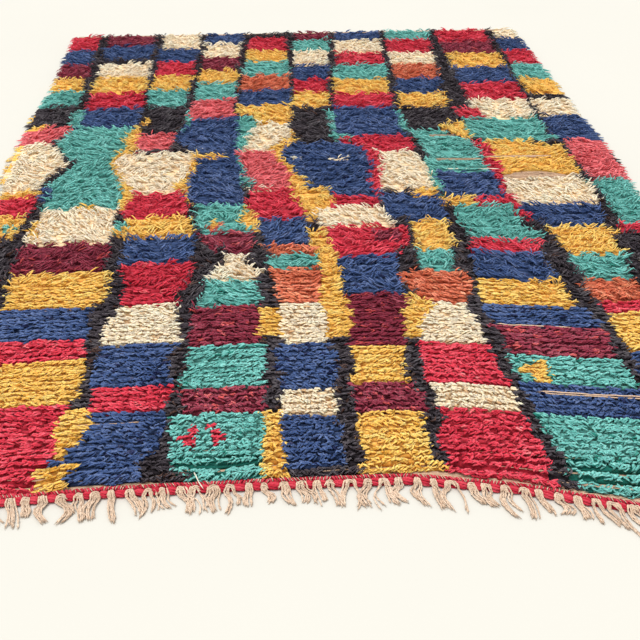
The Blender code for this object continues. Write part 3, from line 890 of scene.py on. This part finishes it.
def knot_paths(settings, row, left, right, wool, place, edge_left, edge_right):
    """The paths of all knots' ends, from root to tip, their radius along them, their group and looseness.

    Ends come in pairs, one pair to a knot, and place is the knot's share of the way along its run.
    """
    count = len(row)
    level = PILE_NEAR + (row + 0.5) * ROW_PITCH
    start = left + (right - left) * place + rng.normal(0.0, KNOT_STRAY, count)
    loose = smooth(BLEND_FROM, BLEND_TO, row + 8.0 * waves(start, level, 0.16, 91))
    group = groups(row, start, level, wool, loose)
    size = np.bincount(group)

    def shared(spread):
        return rng.normal(0.0, spread, len(size))[group]

    def gathered(values):
        return (np.bincount(group, values) / size)[group]

    # Whole patches of the pile lie the same way, but for a few ends, and at the cloth's sides it lies out
    way = waves(start, level, 0.13, 5) + shared(0.55)
    out = (start - left < OUT_WITHIN) * -1.0 + (right - start < OUT_WITHIN) * 1.0
    rim = ((start - left < RIM_WITHIN) & edge_left) * -1.0 + ((right - start < RIM_WITHIN) & edge_right) * 1.0
    chance = rng.uniform(0.0, 1.0, count)
    side = np.where(chance < OUT_CHANCE * np.abs(out), out, np.sign(way))
    side = np.where(chance < RIM_CHANCE * np.abs(rim), rim, side)
    stray = rng.uniform(0.0, 1.0, count) < STRAYS + STRAYS_MORE_FAR * loose
    reach = np.clip(1.0 + shared(0.17), 0.65, 1.4) * rng.uniform(0.85, 1.15, count)
    # After the first rows, and at the left, the ends are longer and lie more alike
    calm = np.maximum(smooth(12, 30, row), 0.85 * smooth(0.28, 0.42, -start))
    laid = settings.near_length * (1.0 + 0.40 * calm)
    reach = reach * (laid + (settings.far_length - laid) * loose)
    lean = np.radians(
        (settings.lean + 10.0 * waves(start, level, 0.11, 17) + shared(9.0)) * loose
        + settings.away * smooth(30, 42, row) * (1 - smooth(62, 82, row))
        + rng.normal(0.0, 1.0, count) * (8.0 + 22.0 * stray) * loose
    )
    # How far it lies aside. An end that would lie too far into the next wool is set back along its row
    far_x = start + side * reach * np.cos(lean)
    far_x += (gathered(far_x) - far_x) * 0.50 * loose * ~stray
    room = (0.0100 + 0.005 * loose) * rng.uniform(0.0, 1.0, count) ** 1.3
    room = room * np.clip((right - left) / 0.035, 0.25, 1.0)
    rim_room = settings.rim * rng.uniform(0.25, 1.0, count) ** 0.7
    low, high = left - np.where(edge_left, rim_room, room), right + np.where(edge_right, rim_room, room)
    over = np.maximum(far_x - high, 0.0) - np.maximum(low - far_x, 0.0)
    start, far_x = np.clip(start - over, low, high), far_x - over

    x = start[:, None] + (far_x - start)[:, None] * STATIONS
    rope_y, rope_z = rope(settings, row, level, start, side, calm)
    shag_y, shag_z = shag(settings, level, reach, lean, stray, shared, gathered)
    curve = shared(0.0022) * loose + rng.normal(0.0, 1.0, count) * (0.0017 + 0.0004 * loose)
    wobble = rng.normal(0.0, 1.0, (count, 4, 2)) * (0.0006 + 0.0002 * loose)[:, None, None]
    y = row_y(level[:, None], x) + rope_y + (shag_y - rope_y) * loose[:, None] + wobble[..., 0]
    y = y + curve[:, None] * BEND - near_droop(row, start)[:, None]
    y = y + 0.0010 * waves(x, 4.0 * level[:, None], 0.05, 61) * (1 - loose)[:, None]
    z = rope_z + (shag_z - rope_z) * loose[:, None] + wobble[..., 1]
    z = z + 0.0010 * waves(x, y, 0.05, 44) + 0.0009 * waves(x, 6.0 * level[:, None], 0.06, 83)
    # Loose ends are thinner, and taper sooner
    thick = (settings.thick / 2) * rng.uniform(0.74, 1.20, count) * (1.0 - 0.24 * loose)
    thick = thick * np.where(wool == CREAM, CREAM_THICKER, 1.0)
    taper = np.column_stack((np.zeros(count), np.ones(count), 0.94 - 0.24 * loose, np.zeros(count)))
    paths = part_rows(row, np.stack((x, y, z), axis=2))
    return settle(paths, thick[:, None] * np.maximum(taper, 0.6)), thick[:, None] * taper, group, loose


def wool_shades(row, x, level, second, group):
    """Each end's place across the strand map: row by row, lock by lock and lot by lot the dye wanders."""
    count = len(row)
    by_row = rng.normal(0.0, 0.10, ROWS)[row.astype(int)]
    by_group = rng.normal(0.0, 0.24, group.max() + 1)[group]
    shade = 0.5 + by_group + rng.normal(0.0, 0.11, count) + by_row + 0.14 * waves(x, level, 0.09, 3)
    for first, last, left, right, darker in DARK_LOTS:
        shade = shade - darker * ((row >= first) & (row <= last) & (x > left / 100) & (x < right / 100))
    return shade_place(np.clip(shade, 0.03, 0.97), second)


def make_pile(settings, dyes):
    """Knots every row in its wools: one piece for each wool."""
    runs = chart_rows()
    row, left, right = runs[:, 0], runs[:, 1], runs[:, 2]
    near, far = settings.near_knots, settings.far_knots
    dense = np.interp(row, (0, 40, 60, 112, ROWS), (near, near, far, far, far - LAST_ROWS_FEWER))
    dense = dense * np.where(row == 0, FIRST_ROW_DENSER, 1.0)
    knots = np.maximum(1, np.round((right - left) * dense / 2)).astype(int)
    which = np.repeat(np.arange(len(runs)), 2 * knots)
    place = np.concatenate([np.repeat((np.arange(number) + rng.uniform(0.1, 0.9, number)) / number, 2)
                            for number in knots])
    edge_left = np.concatenate(([True], row[1:] != row[:-1]))
    edge_right = np.concatenate((row[1:] != row[:-1], [True]))
    wool = runs[which, 3].astype(int)
    cream = wool == CREAM
    paths, radius, group, loose = knot_paths(
        settings, row[which], left[which], right[which], wool, place, edge_left[which], edge_right[which]
    )
    # How deep each end's stations lie in the painted root shade: far roots are lifted out of it, and near
    # cream is drawn down into it
    lift = np.where(cream, CREAM_LIFT, LIFT) * loose
    along = np.array((0.0, 0.34, 0.74, 1.0)) + lift[:, None] * np.array((1.0, 0.66, 0.26, 0.0))
    along = along * (1 - CREAM_NEAR * (1 - loose) * cream)[:, None]
    chance = np.repeat(rng.uniform(0.0, 1.0, len(which) // 2), 2)
    fleck = chance < np.array(FLECKS)[wool] * (1.5 - 1.2 * smooth(BLEND_FROM, BLEND_TO + 20, row[which]))
    second = (runs[which, 4] > 0) ^ fleck
    shade = wool_shades(row[which], paths[:, 0, 0], paths[:, 0, 1], second, group)
    pieces = {}
    for number, name in enumerate(WOOLS):
        heap = Heap()
        own = wool == number
        add_strands(heap, paths[own], radius[own], 3, shade[own], along[own])
        for run in runs[runs[:, 3] == number]:
            add_core(heap, settings, run)
        pieces[name] = heap.piece(f"pile_{name}", wool_material(f"{name}_wool", *dyes[name]))
    return pieces


def add_core(heap, settings, run):
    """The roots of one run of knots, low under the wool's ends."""
    # Their walls lie at the root end of the strand map, so in wool they take the painted root shade: a dark
    # ground that stands for the shade between rows. The first row's are darker still
    row, left, right, wool, second = run
    level = PILE_NEAR + (row + 0.5) * ROW_PITCH
    loose = float(smooth(BLEND_FROM, BLEND_TO, row))
    half, high = CORE_HALF + CORE_WIDER * loose, settings.core_high - CORE_LOWER * loose
    tone = shade_place(rng.uniform(0.25, 0.6), second)
    if row == 0:
        half, high, tone = FIRST_CORE_HALF, FIRST_CORE_HIGH, 0.05 + SECOND_DYE * second
    places = np.linspace(left, right, max(2, int((right - left) / 0.08) + 2))
    middles = row_y(level, places) - near_droop(row, places)
    half = half * row_stretch(level, places)
    high = np.full(len(places), high)
    for furrow, gap_left, gap_right, gap, arch, limit, shade in PARTINGS:
        if furrow - 2 < row < furrow + 4:
            near, far, inside = gap_sides(furrow, gap_left, gap_right, gap, arch, places)
            if not shade:
                # A dark gap: the roots beside it are wide, low and dark, a painted shade in the furrow
                half, high = half + 0.0045 * inside, high - 0.0065 * inside
                if 0 <= row - furrow <= 1:
                    tone = 0.60 if wool == WOOLS.index("teal") else SHADES_FROM
            elif row > furrow:
                middles = middles + np.maximum(far + half - middles, 0) * inside
            else:
                middles = middles - np.maximum(middles - near + half, 0) * inside
                lowered = np.maximum(limit / 1000 - 0.003, 0.002) * inside + high * (1 - inside)
                high = np.minimum(high, lowered)
    centres = np.column_stack((places, middles, WEB_THICK - CORE_SINK + swell(places, middles)))
    foot, top = np.zeros_like(high), high * rng.uniform(0.9, 1.05, len(high))
    section = np.stack([
        np.stack((place * half, rise), axis=1)
        for place, rise in ((-1.0, foot), (-0.62, top), (0.62, top), (1.0, foot))
    ], axis=1)
    add_rod(heap, section, centres, tone)


# The web

def make_web(settings, colour):
    """The woven ground, one thin closed sheet that shows at both ends and in the deepest furrows."""
    across, along = 30, 40
    xs = np.linspace(-CLOTH_HALF, CLOTH_HALF, across + 1)
    shares = np.linspace(0.0, 1.0, along + 1)
    x = np.tile(xs, (along + 1, 1))
    near = near_edge(xs)
    y = near + (LENGTH / 2 - near) * shares[:, None]
    # All but its two ends and its middle column wander with the sides
    ends = shares[:, None]
    x = x + side_wander(y) * smooth(0.0, 0.05, ends) * (1 - smooth(0.95, 1.0, ends)) * (x != 0)
    rise = swell(x, y)
    top = np.stack((x, y, np.full_like(x, WEB_THICK) + rise), axis=2).reshape(-1, 3)
    low = np.stack((x, y, np.full_like(x, WEB_THICK - settings.thick) + rise), axis=2).reshape(-1, 3)
    size = across + 1
    cell = (np.arange(along)[:, None] * size + np.arange(across)).ravel()
    upper = np.stack((cell, cell + 1, cell + size + 1, cell + size), axis=1)
    count = len(top)
    # The outline of the sheet, joined by narrow faces between its upper and its lower side
    rim = list(range(size)) + [size * row + across for row in range(1, along + 1)]
    rim += [size * along + step for step in range(across - 1, -1, -1)]
    rim += [size * row for row in range(along - 1, 0, -1)]
    faces = [tuple(face) for face in upper] + [tuple(face[::-1] + count) for face in upper]
    for here, there in zip(rim, rim[1:] + rim[:1]):
        faces.append((here, here + count, there + count, there))
    mesh = bpy.data.meshes.new("ground_web")
    mesh.from_pydata(np.concatenate((top, low)).tolist(), [], [tuple(map(int, face)) for face in faces])
    shape = bmesh.new()
    shape.from_mesh(mesh)
    bmesh.ops.recalc_face_normals(shape, faces=shape.faces)
    shape.to_mesh(mesh)
    shape.free()
    return placed(mesh, web_material("web_weave", colour))


def add_weft(heap, settings, x, y, z, shade):
    """One weft thread through these places."""
    count = len(x)
    thick = np.array([0] + [settings.weft / 2] * (count - 2) + [0])
    add_strand(heap, np.column_stack((x, y, z)), thick, shade, np.linspace(0, 1, count))


def make_wefts(settings, colour):
    """The weft threads that show where two rows of pile part, and at the near end of the web."""
    heap = Heap()
    count = 14
    for furrow, left, right, gap, arch, high, shade in PARTINGS:
        if not shade:
            continue
        places = np.linspace(left / 100, right / 100, count)
        near, far, _ = gap_sides(furrow, left, right, gap, arch, places)
        for share in np.linspace(0, 1, 1 + int((gap + arch) / WEFT_PITCH)):
            y = near + (far - near) * share + rng.normal(0, 0.0003 + 0.00003 * arch, count)
            z = high / 1000 - 0.0012 + swell(places, y) + rng.normal(0, 0.0004, count)
            z = z + np.maximum(0.0022, 0.35 * (far - near)) * share
            tone = shade_place(np.clip(shade + rng.uniform(-0.3, 0.3), 0, 1)) if shade < 1 else 0.9
            add_weft(heap, settings, places, y, z, tone)
    count = 120
    for step in range(NEAR_WEFTS):
        places = np.linspace(-CLOTH_HALF + 0.004, CLOTH_HALF - 0.004, count)
        y = near_edge(places) + 0.0015 + WEFT_STEP * step + rng.normal(0, 0.0002, count)
        z = WEB_THICK + 0.0002 + rng.normal(0, 0.0002, count)
        add_weft(heap, settings, places, y, z, shade_place(rng.uniform(0.5, 1.0)))
    loose_end = np.array(LOOSE_END)
    loose_end[:, 1] += near_edge(loose_end[:, 0])
    path = bend(loose_end[None], 10)[0]
    fat = settings.weft * 0.38 * np.array((0, 1, 1, 1, 1, 1, 1, 1, 0.9, 0))
    add_strand(heap, path, fat, 0.93, np.linspace(0, 1, 10))
    return heap.piece("showing_wefts", yarn_material("weft_yarn", colour, UNDYED_TIP, 60.0))


# The border

def out_from(x, out, z):
    """A point in front of the web's near edge."""
    return np.stack(np.broadcast_arrays(x, near_edge(x) - SEAT_GAP - out, z), axis=-1)


def bunch_places():
    """Where the bunches of warp ends leave the border, and how wide each one is: no two are alike."""
    draw = np.random.default_rng(7)
    pitch = 2 * CLOTH_HALF / BUNCHES
    middle = -CLOTH_HALF + pitch * (np.arange(BUNCHES) + 0.5)
    middle[1:-1] += draw.normal(0.0, 0.0026, BUNCHES - 2)
    return middle, draw.uniform(0.80, 1.50, BUNCHES)


def make_border(settings, red, undyed):
    """Two rows of thick red yarn twined over the warp: small slanting stitches, then fat beads."""
    heap = Heap()
    # The upper row's stitches slant over it
    count = int(2 * CLOTH_HALF / settings.stitch)
    middle = np.linspace(-CLOTH_HALF + 0.004, CLOTH_HALF - 0.004, count) + rng.normal(0, 0.0005, count)
    share = np.linspace(0.0, 1.0, 6)
    turn = np.radians(16 + 150 * share)[None, :] + rng.normal(0, 0.08, (count, 1))
    slant = np.where(waves(middle, 0.0, 0.07, 8) > -0.25, 1.0, -0.7) * rng.uniform(0.5, 1.3, count)
    x = middle[:, None] + slant[:, None] * 0.0085 * (share - 0.5)
    bulge = 1.0 + 0.12 * rng.normal(0, 1, (count, 1))
    path = out_from(x, UPPER_OUT - 0.0050 * np.cos(turn), 0.0020 + 0.0058 * bulge * np.sin(turn))
    fat = settings.yarn / 2 * np.array((0, 0.80, 1.0, 1.0, 0.80, 0))
    add_strands(heap, path, fat, 3, shade_place(rng.uniform(0.05, 1.0, count)), np.linspace(0.1, 1, 6))
    # Bits of undyed warp that show between the stitches
    bits = rng.choice(count, int(count * settings.warp_bits), replace=False)
    lifted = path[bits] + (settings.stitch / 2, 0, 0.0014) + rng.normal(0, 0.0005, (len(bits), 1, 3))
    thin = np.array((0, 0.0006, 0.0009, 0.0007, 0)) * rng.uniform(0.5, 1.15, (len(bits), 1))
    pale = 0.54 + 0.22 * rng.uniform(0, 1, len(bits))
    add_strands(heap, lifted[:, 1:], thin, 3, pale, np.linspace(0.2, 1, 5))
    # The lower row's beads, one between two bunches
    share = np.linspace(0.0, 1.0, 8)
    bunches, spread = bunch_places()
    for left, right, left_wide, right_wide in zip(bunches[:-1], bunches[1:], spread[:-1], spread[1:]):
        start, end = left + 0.0012 * left_wide, right - 0.0012 * right_wide
        fat = rng.uniform(0.88, 1.12)
        for turn in np.radians(np.linspace(5, 170, 5) + rng.normal(0, 6, 5)):
            angle = turn + np.radians(58.0) * (share - 0.5)
            swell_out = fat * (0.36 + 0.64 * np.sin(np.pi * share) ** 0.7)
            x = start + (end - start) * share
            out = LOWER_OUT - 0.0054 * swell_out * np.cos(angle)
            path = out_from(x, out, 0.0032 + 0.0050 * swell_out * np.sin(angle))
            thick = settings.yarn / 2 * np.array((0, 0.8, 1, 1.2, 1.2, 1, 0.8, 0))
            add_strand(heap, path, thick, shade_place(rng.uniform(0.1, 1.0)), share)
    # What both rows are wrapped round
    places = np.linspace(-CLOTH_HALF, CLOTH_HALF, 121)
    half = ROW_HALF
    for out, high in ((UPPER_OUT, 0.0052), (LOWER_OUT, 0.0046)):
        y = near_edge(places) - SEAT_GAP - out
        section = np.array(((-half, 0.0), (-half, high * 0.55), (-half * 0.4, high), (half * 0.4, high),
                            (half, high * 0.55), (half, 0.0)))
        centres = np.column_stack((places, y, np.full(121, 0.0003)))
        add_rod(heap, section, centres, 0.08)
    return heap.piece("twined_border", yarn_material("twined_wool", red, undyed, 4.0))


# The fringe

def bend(points, count):
    """A smooth line of count stations through a strand's few points (strands x points x 3)."""
    size = points.shape[1]
    before, after = 2 * points[:, :1] - points[:, 1:2], 2 * points[:, -1:] - points[:, -2:-1]
    ends = np.concatenate((before, points, after), axis=1)
    at = np.linspace(0, size - 1 - 1e-6, count)
    cell = at.astype(int)
    t = (at - cell)[None, :, None]
    a, b, c, d = (ends[:, cell + shift] for shift in range(4))
    return 0.5 * (2 * b + (c - a) * t + (2 * a - 5 * b + 4 * c - d) * t**2 + (3 * b - a - 3 * c + d) * t**3)


def add_plies(heap, settings, centre):
    """Two plies wound round each of the centre lines, thinner and farther apart at the loose end."""
    count, stations = centre.shape[:2]
    heading = np.gradient(centre, axis=1)
    heading /= np.linalg.norm(heading, axis=2, keepdims=True)
    side = np.cross(heading, (0.0, 0.0, 1.0))
    side /= np.maximum(np.linalg.norm(side, axis=2, keepdims=True), 1e-6)
    over = np.cross(side, heading)
    run = np.cumsum(np.linalg.norm(np.diff(centre, axis=1, prepend=centre[:, :1]), axis=2), axis=1)
    turn = 2 * np.pi * run / settings.twist + rng.uniform(0, 6.28, count)[:, None]
    share = np.linspace(0, 1, stations)
    apart = settings.thick * 0.19 * (1 + 1.2 * smooth(0.85, 1.0, share))
    fat = settings.thick * 0.33 * np.minimum(1.0, 0.6 + 6 * share) * (1 - 0.40 * smooth(0.86, 1.0, share))
    fat[[0, -1]] = 0
    shade = shade_place(np.clip(0.5 + 0.24 * rng.normal(0, 1, count), 0, 1))
    lightest = SHADES_FROM + SHADES_WIDE
    for ply in (0.0, np.pi):
        off = side * np.cos(turn + ply)[..., None] + over * np.sin(turn + ply)[..., None]
        line = centre + off * apart[:, None]
        line[..., 2] = np.maximum(line[..., 2], fat + 0.0002)
        own = np.clip(shade + rng.normal(0, 0.03, count), SHADES_FROM, lightest)
        add_strands(heap, line, fat, 3, own, share)


def make_fringe(settings, undyed):
    """The warp ends, knotted over the border in bunches and left loose on the floor."""
    heap = Heap()
    ends = settings.ends
    bunches, spread = bunch_places()
    middle, wide = np.repeat(bunches, ends), np.repeat(spread, ends)
    count = len(middle)
    # A bunch parts into two legs, or stays whole, and the ends of a leg cling together
    slot = np.tile(np.arange(ends), BUNCHES)
    split = np.repeat(rng.integers(2, ends - 1, BUNCHES), ends)
    whole = np.repeat(rng.uniform(0, 1, BUNCHES) < 0.50, ends)
    leg = np.where(slot < split, -1.0, 1.0)
    lead = 0.013 * smooth(-0.35, 0.40, bunches) + 0.008 * waves(bunches, 0.0, 0.12, 4)
    lead = np.repeat(lead + rng.normal(0.0, 0.0045, BUNCHES), ends)
    legs = 2 * np.repeat(np.arange(BUNCHES), ends) + (slot >= split) * ~whole
    apart = np.abs(rng.normal(0.0055, 0.0035, 2 * BUNCHES))[legs] * leg
    fan = np.where(whole, 0.25 * apart, apart) + lead + rng.normal(0.0, 0.0018, count)
    reach = rng.uniform(0.024, 0.050, 2 * BUNCHES)[legs] * rng.uniform(0.80, 1.05, count)
    reach = np.minimum(reach, LONGEST_END - 0.002)
    curl = rng.normal(0.0, 0.0055, 2 * BUNCHES)[legs] + rng.normal(0.0, 0.0016, count)
    own = rng.normal(0.0, 0.0014, count)
    knot = np.repeat(rng.uniform(0.88, 1.12, BUNCHES), ends) * rng.uniform(0.92, 1.08, count)
    across = (slot + 0.5) / ends * 2 - 1 + rng.normal(0.0, 0.12, count)
    place = np.where(whole, 0.80 * across, 0.38 * leg + 0.66 * across)
    path = []
    for out, height, sideways, alone, fanned in KNOT_STEPS:
        x = middle + place * wide * sideways + own * alone + fan * fanned
        path.append(out_from(x, out, height * knot))
    for share, lift in ((0.22, 0.0024), (0.50, 0.0018), (0.78, 0.0018), (1.0, 0.0014)):
        x = middle + place * wide * 0.0064 * (1 - 0.55 * share) + fan * (0.15 + 0.85 * share)
        x = x + own * (1.0 + 0.8 * share)
        x = x + curl * math.sin(math.pi * (0.1 + 0.9 * share))
        height = lift + 0.0026 * rng.uniform(0, 1, count) * (share < 0.9)
        path.append(out_from(x, 0.0262 + reach * share, height))
    paths = [bend(np.stack(path, axis=1), settings.stations)]
    # The loops that tie each bunch lie across its head
    for turn in range(2):
        share = np.linspace(-1.0, 1.0, 7)
        tilt = rng.normal(0.0, 0.0016, (BUNCHES, 1))
        x = bunches[:, None] + spread[:, None] * (0.0050 + 0.0010 * turn) * share
        out = 0.0150 + 0.0034 * turn + tilt * share + 0.0030 * share**2
        high = (0.0078 - 0.0010 * turn) * np.sqrt(np.clip(1.05 - share**2, 0.0, 1.0)) + 0.0026
        paths.append(bend(out_from(x, out, high), 12))
    for centre in paths:
        add_plies(heap, settings, centre)
    return heap.piece("warp_fringe", yarn_material("warp_yarn", undyed, UNDYED_TIP, 9.0))


# Settings, operators and panel

def dye(label, colour):
    """A wool colour that a user may change, as it looks on screen."""
    return FloatVectorProperty(
        name=label, description=f"Screen colour of the {label.lower()}, from 0 to 1", subtype="COLOR", size=3,
        min=0.0, max=1.0, default=[value / 255 for value in colour],
    )


def number(label, description, default, **more):
    """A number that a user may change."""
    return FloatProperty(name=label, description=description, default=default, **more)


def length(label, description, default):
    """A size in metres that a user may change."""
    return number(label, description, default, unit="LENGTH", precision=4)


class RugDyes(bpy.types.PropertyGroup):
    """The wools' colours: each has its main dye and a second one that is mixed in."""
    red: dye("Red", (220, 63, 82))
    red_second: dye("Faded red", (238, 112, 118))
    maroon: dye("Maroon", (150, 60, 78))
    maroon_second: dye("Maroon flecks", (202, 86, 88))
    blue: dye("Blue", (72, 94, 141))
    blue_second: dye("Dark blue", (40, 48, 86))
    teal: dye("Teal", (112, 187, 179))
    teal_second: dye("Dark teal", (48, 130, 118))
    yellow: dye("Yellow", (255, 195, 99))
    yellow_second: dye("Ochre", (220, 160, 66))
    cream: dye("Cream", (254, 230, 196))
    cream_second: dye("Tan", (210, 174, 136))
    black: dye("Black", (70, 64, 70))
    black_second: dye("Brown", (78, 56, 50))
    coral: dye("Coral", (221, 118, 88))
    coral_second: dye("Light coral", (240, 146, 110))
    web: dye("Web", (204, 172, 146))
    twined: dye("Border", (190, 50, 68))
    warp: dye("Warp", (226, 196, 170))


class RugPile(bpy.types.PropertyGroup):
    """How the pile is knotted."""
    near_length: length("Near length", "How far a near knot's end reaches", 0.0124)
    far_length: length("Far length", "How far a far knot's end reaches", 0.0205)
    thick: length("Thickness", "Thickness of the wool where it is fullest", 0.0046)
    row_half: length("Row half width", "Half the width of a near row", 0.0043)
    row_middle: length("Row middle", "Height of the middle of a near row", 0.0092)
    row_high: length("Row rise", "How far a near row rises over its middle", 0.0070)
    core_high: length("Root height", "Height of the packed roots", 0.0100)
    shag_high: length("Shag height", "Greatest height of the loose pile", 0.0240)
    lean: number("Lean", "How far the loose pile leans towards the far end, in degrees", 3.0)
    away: number("Middle lean", "How much farther the middle rows lean, in degrees", 17.0)
    rim: length("Rim locks", "How far the longest ends reach past the cloth's sides", 0.042)
    near_knots: number("Near ends", "Ends of wool for each metre of a near row", 376.0)
    far_knots: number("Far ends", "Ends of wool for each metre of a far row", 276.0)


class RugTrim(bpy.types.PropertyGroup):
    """The web, the border and the fringe."""
    thick: length("Web thickness", "Thickness of the woven ground", 0.0023)
    weft: length("Weft", "Thickness of a weft thread that shows", 0.0026)
    stitch: length("Stitch", "Distance between two stitches of the upper row", 0.0054)
    yarn: length("Yarn", "Thickness of the border's yarn", 0.0042)
    warp_bits: number("Warp bits", "Share of stitches with a bit of warp beside them", 0.7)


class RugFringe(bpy.types.PropertyGroup):
    """The warp ends."""
    ends: IntProperty(name="Ends", description="Warp ends in each bunch", default=8)
    stations: IntProperty(name="Stations", description="Rings along each ply", default=12)
    thick: length("End thickness", "Thickness of a plied warp end", 0.0034)
    twist: length("Twist", "Length of one full twist of a warp end", 0.0220)


class RugStage(bpy.types.PropertyGroup):
    """The floor, the light and the camera."""
    floor: FloatVectorProperty(
        name="Floor", description="Screen colour of the floor", subtype="COLOR", size=3, min=0.0, max=1.0,
        default=(0.788, 0.782, 0.755),
    )
    sky: number("Fill light", "Strength of the light from all around", 0.97)
    key: number("Key light", "Strength of the soft light from above", 2.40)
    softness: number("Softness", "Angle that the key light fills", 0.5, subtype="ANGLE")
    lens: number("Lens", "Focal length of the camera", 56.25, unit="CAMERA")
    camera: FloatVectorProperty(
        name="Camera", description="Where the camera stands", subtype="TRANSLATION", size=3,
        default=(-0.125, -2.1245, 1.0055),
    )
    down: number("Down", "How far the camera looks down", math.radians(32.8), subtype="ANGLE")
    aside: number("Aside", "How far the camera turns to the right", math.radians(3.5), subtype="ANGLE")


def screen(colour):
    """A property's colour on the scale from 0 to 255."""
    return tuple(value * 255 for value in colour)


def dress(piece, slot, *nodes):
    """Seats a piece on the rug's one body, in place of these nodes."""
    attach(piece, "root")
    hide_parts(*nodes)
    return {"FINISHED"}


class RUG_OT_pile(bpy.types.Operator):
    """Knots the pile, one piece for each wool"""
    bl_idname = "rug.pile"
    bl_label = "Pile"

    def execute(self, context):
        settings, dyes = context.scene.rug_pile, context.scene.rug_dyes
        colours = {
            name: (screen(getattr(dyes, name)), screen(getattr(dyes, f"{name}_second"))) for name in WOOLS
        }
        for name, piece in make_pile(settings, colours).items():
            dress(piece, f"pile_{name}", "rug_field")
        return {"FINISHED"}


class RUG_OT_border(bpy.types.Operator):
    """Twines the two rows of red yarn along the near end"""
    bl_idname = "rug.border"
    bl_label = "Border"

    def execute(self, context):
        dyes = context.scene.rug_dyes
        piece = make_border(context.scene.rug_trim, screen(dyes.twined), screen(dyes.warp))
        return dress(piece, "twined_yarn", "twined_border_near")


class RUG_OT_fringe(bpy.types.Operator):
    """Lays out the knotted warp ends"""
    bl_idname = "rug.fringe"
    bl_label = "Fringe"

    def execute(self, context):
        piece = make_fringe(context.scene.rug_fringe, screen(context.scene.rug_dyes.warp))
        return dress(piece, "warp_fringe", "fringe_near")


class RUG_OT_web(bpy.types.Operator):
    bl_idname = "rug.web"
    bl_label = "Web"

    def execute(self, context):
        trim, colour = context.scene.rug_trim, screen(context.scene.rug_dyes.web)
        wefts = make_wefts(trim, colour)
        dress(wefts, "web_wool", "rug_field")
        web = make_web(trim, colour)
        dress(web, "web_wool", "rug_field")
        LENGTH / 2 - EDGE_NEAR + BOW_RIGHT / 2
        return {"FINISHED"}


class RUG_OT_stage(bpy.types.Operator):
    """Sets the pale floor, the soft light and the camera"""
    bl_idname = "rug.stage"
    bl_label = "Stage"

    def execute(self, context):
        stage = context.scene.rug_stage
        bpy.ops.mesh.primitive_plane_add(size=24.0, location=(0, 4, 0))
        floor = context.object
        floor.name = "floor"
        floor.data.materials.append(floor_material("pale_floor", screen(stage.floor)))
        world = bpy.data.worlds.new("soft_room")
        world.use_nodes = True
        background = world.node_tree.nodes["Background"]
        background.inputs["Color"].default_value = (1.0, 0.992, 0.975, 1.0)
        background.inputs["Strength"].default_value = stage.sky
        context.scene.world = world
        bpy.ops.object.light_add(type="SUN", location=(-1.0, 1.5, 4.0))
        sun = context.object
        sun.rotation_euler = Vector((0.22, 0.10, -1.0)).to_track_quat("-Z", "Y").to_euler()
        sun.data.energy = stage.key
        sun.data.angle = stage.softness
        sun.data.color = (1.0, 0.985, 0.96)
        bpy.ops.object.camera_add(location=stage.camera)
        camera = context.object
        camera.rotation_euler = (math.radians(90) - stage.down, 0.0, -stage.aside)
        camera.data.lens = stage.lens
        camera.data.sensor_width = 36.0
        context.scene.camera = camera
        context.scene.view_settings.view_transform = "Standard"
        return {"FINISHED"}


class RUG_PT_rug(bpy.types.Panel):
    """Lists the rug's pieces and their settings"""
    bl_idname = "RUG_PT_rug"
    bl_label = "Azilal rug"
    bl_space_type = "VIEW_3D"
    bl_region_type = "UI"
    bl_category = "Rug"

    def draw(self, context):
        for operator in OPERATORS:
            self.layout.operator(operator.bl_idname)
        for name in GROUPS:
            box = self.layout.box()
            group = getattr(context.scene, name)
            for key in group.bl_rna.properties.keys()[2:]:
                box.prop(group, key)


GROUPS = {"rug_dyes": RugDyes, "rug_pile": RugPile, "rug_trim": RugTrim, "rug_fringe": RugFringe,
          "rug_stage": RugStage}
OPERATORS = (RUG_OT_stage, RUG_OT_pile, RUG_OT_border, RUG_OT_fringe, RUG_OT_web)


def register():
    for kind in (*GROUPS.values(), *OPERATORS, RUG_PT_rug):
        bpy.utils.register_class(kind)
    for name, kind in GROUPS.items():
        setattr(bpy.types.Scene, name, PointerProperty(type=kind))


def unregister():
    for name in GROUPS:
        delattr(bpy.types.Scene, name)
    for kind in reversed((*GROUPS.values(), *OPERATORS, RUG_PT_rug)):
        bpy.utils.unregister_class(kind)


def main():
    """Builds the rug on its floor."""
    register()
    bpy.ops.object.select_all(action="DESELECT")
    bpy.ops.rug.stage()
    bpy.ops.rug.pile()
    bpy.ops.rug.border()
    bpy.ops.rug.fringe()
    bpy.ops.rug.web()
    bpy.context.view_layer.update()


if __name__ == "__main__":
    main()
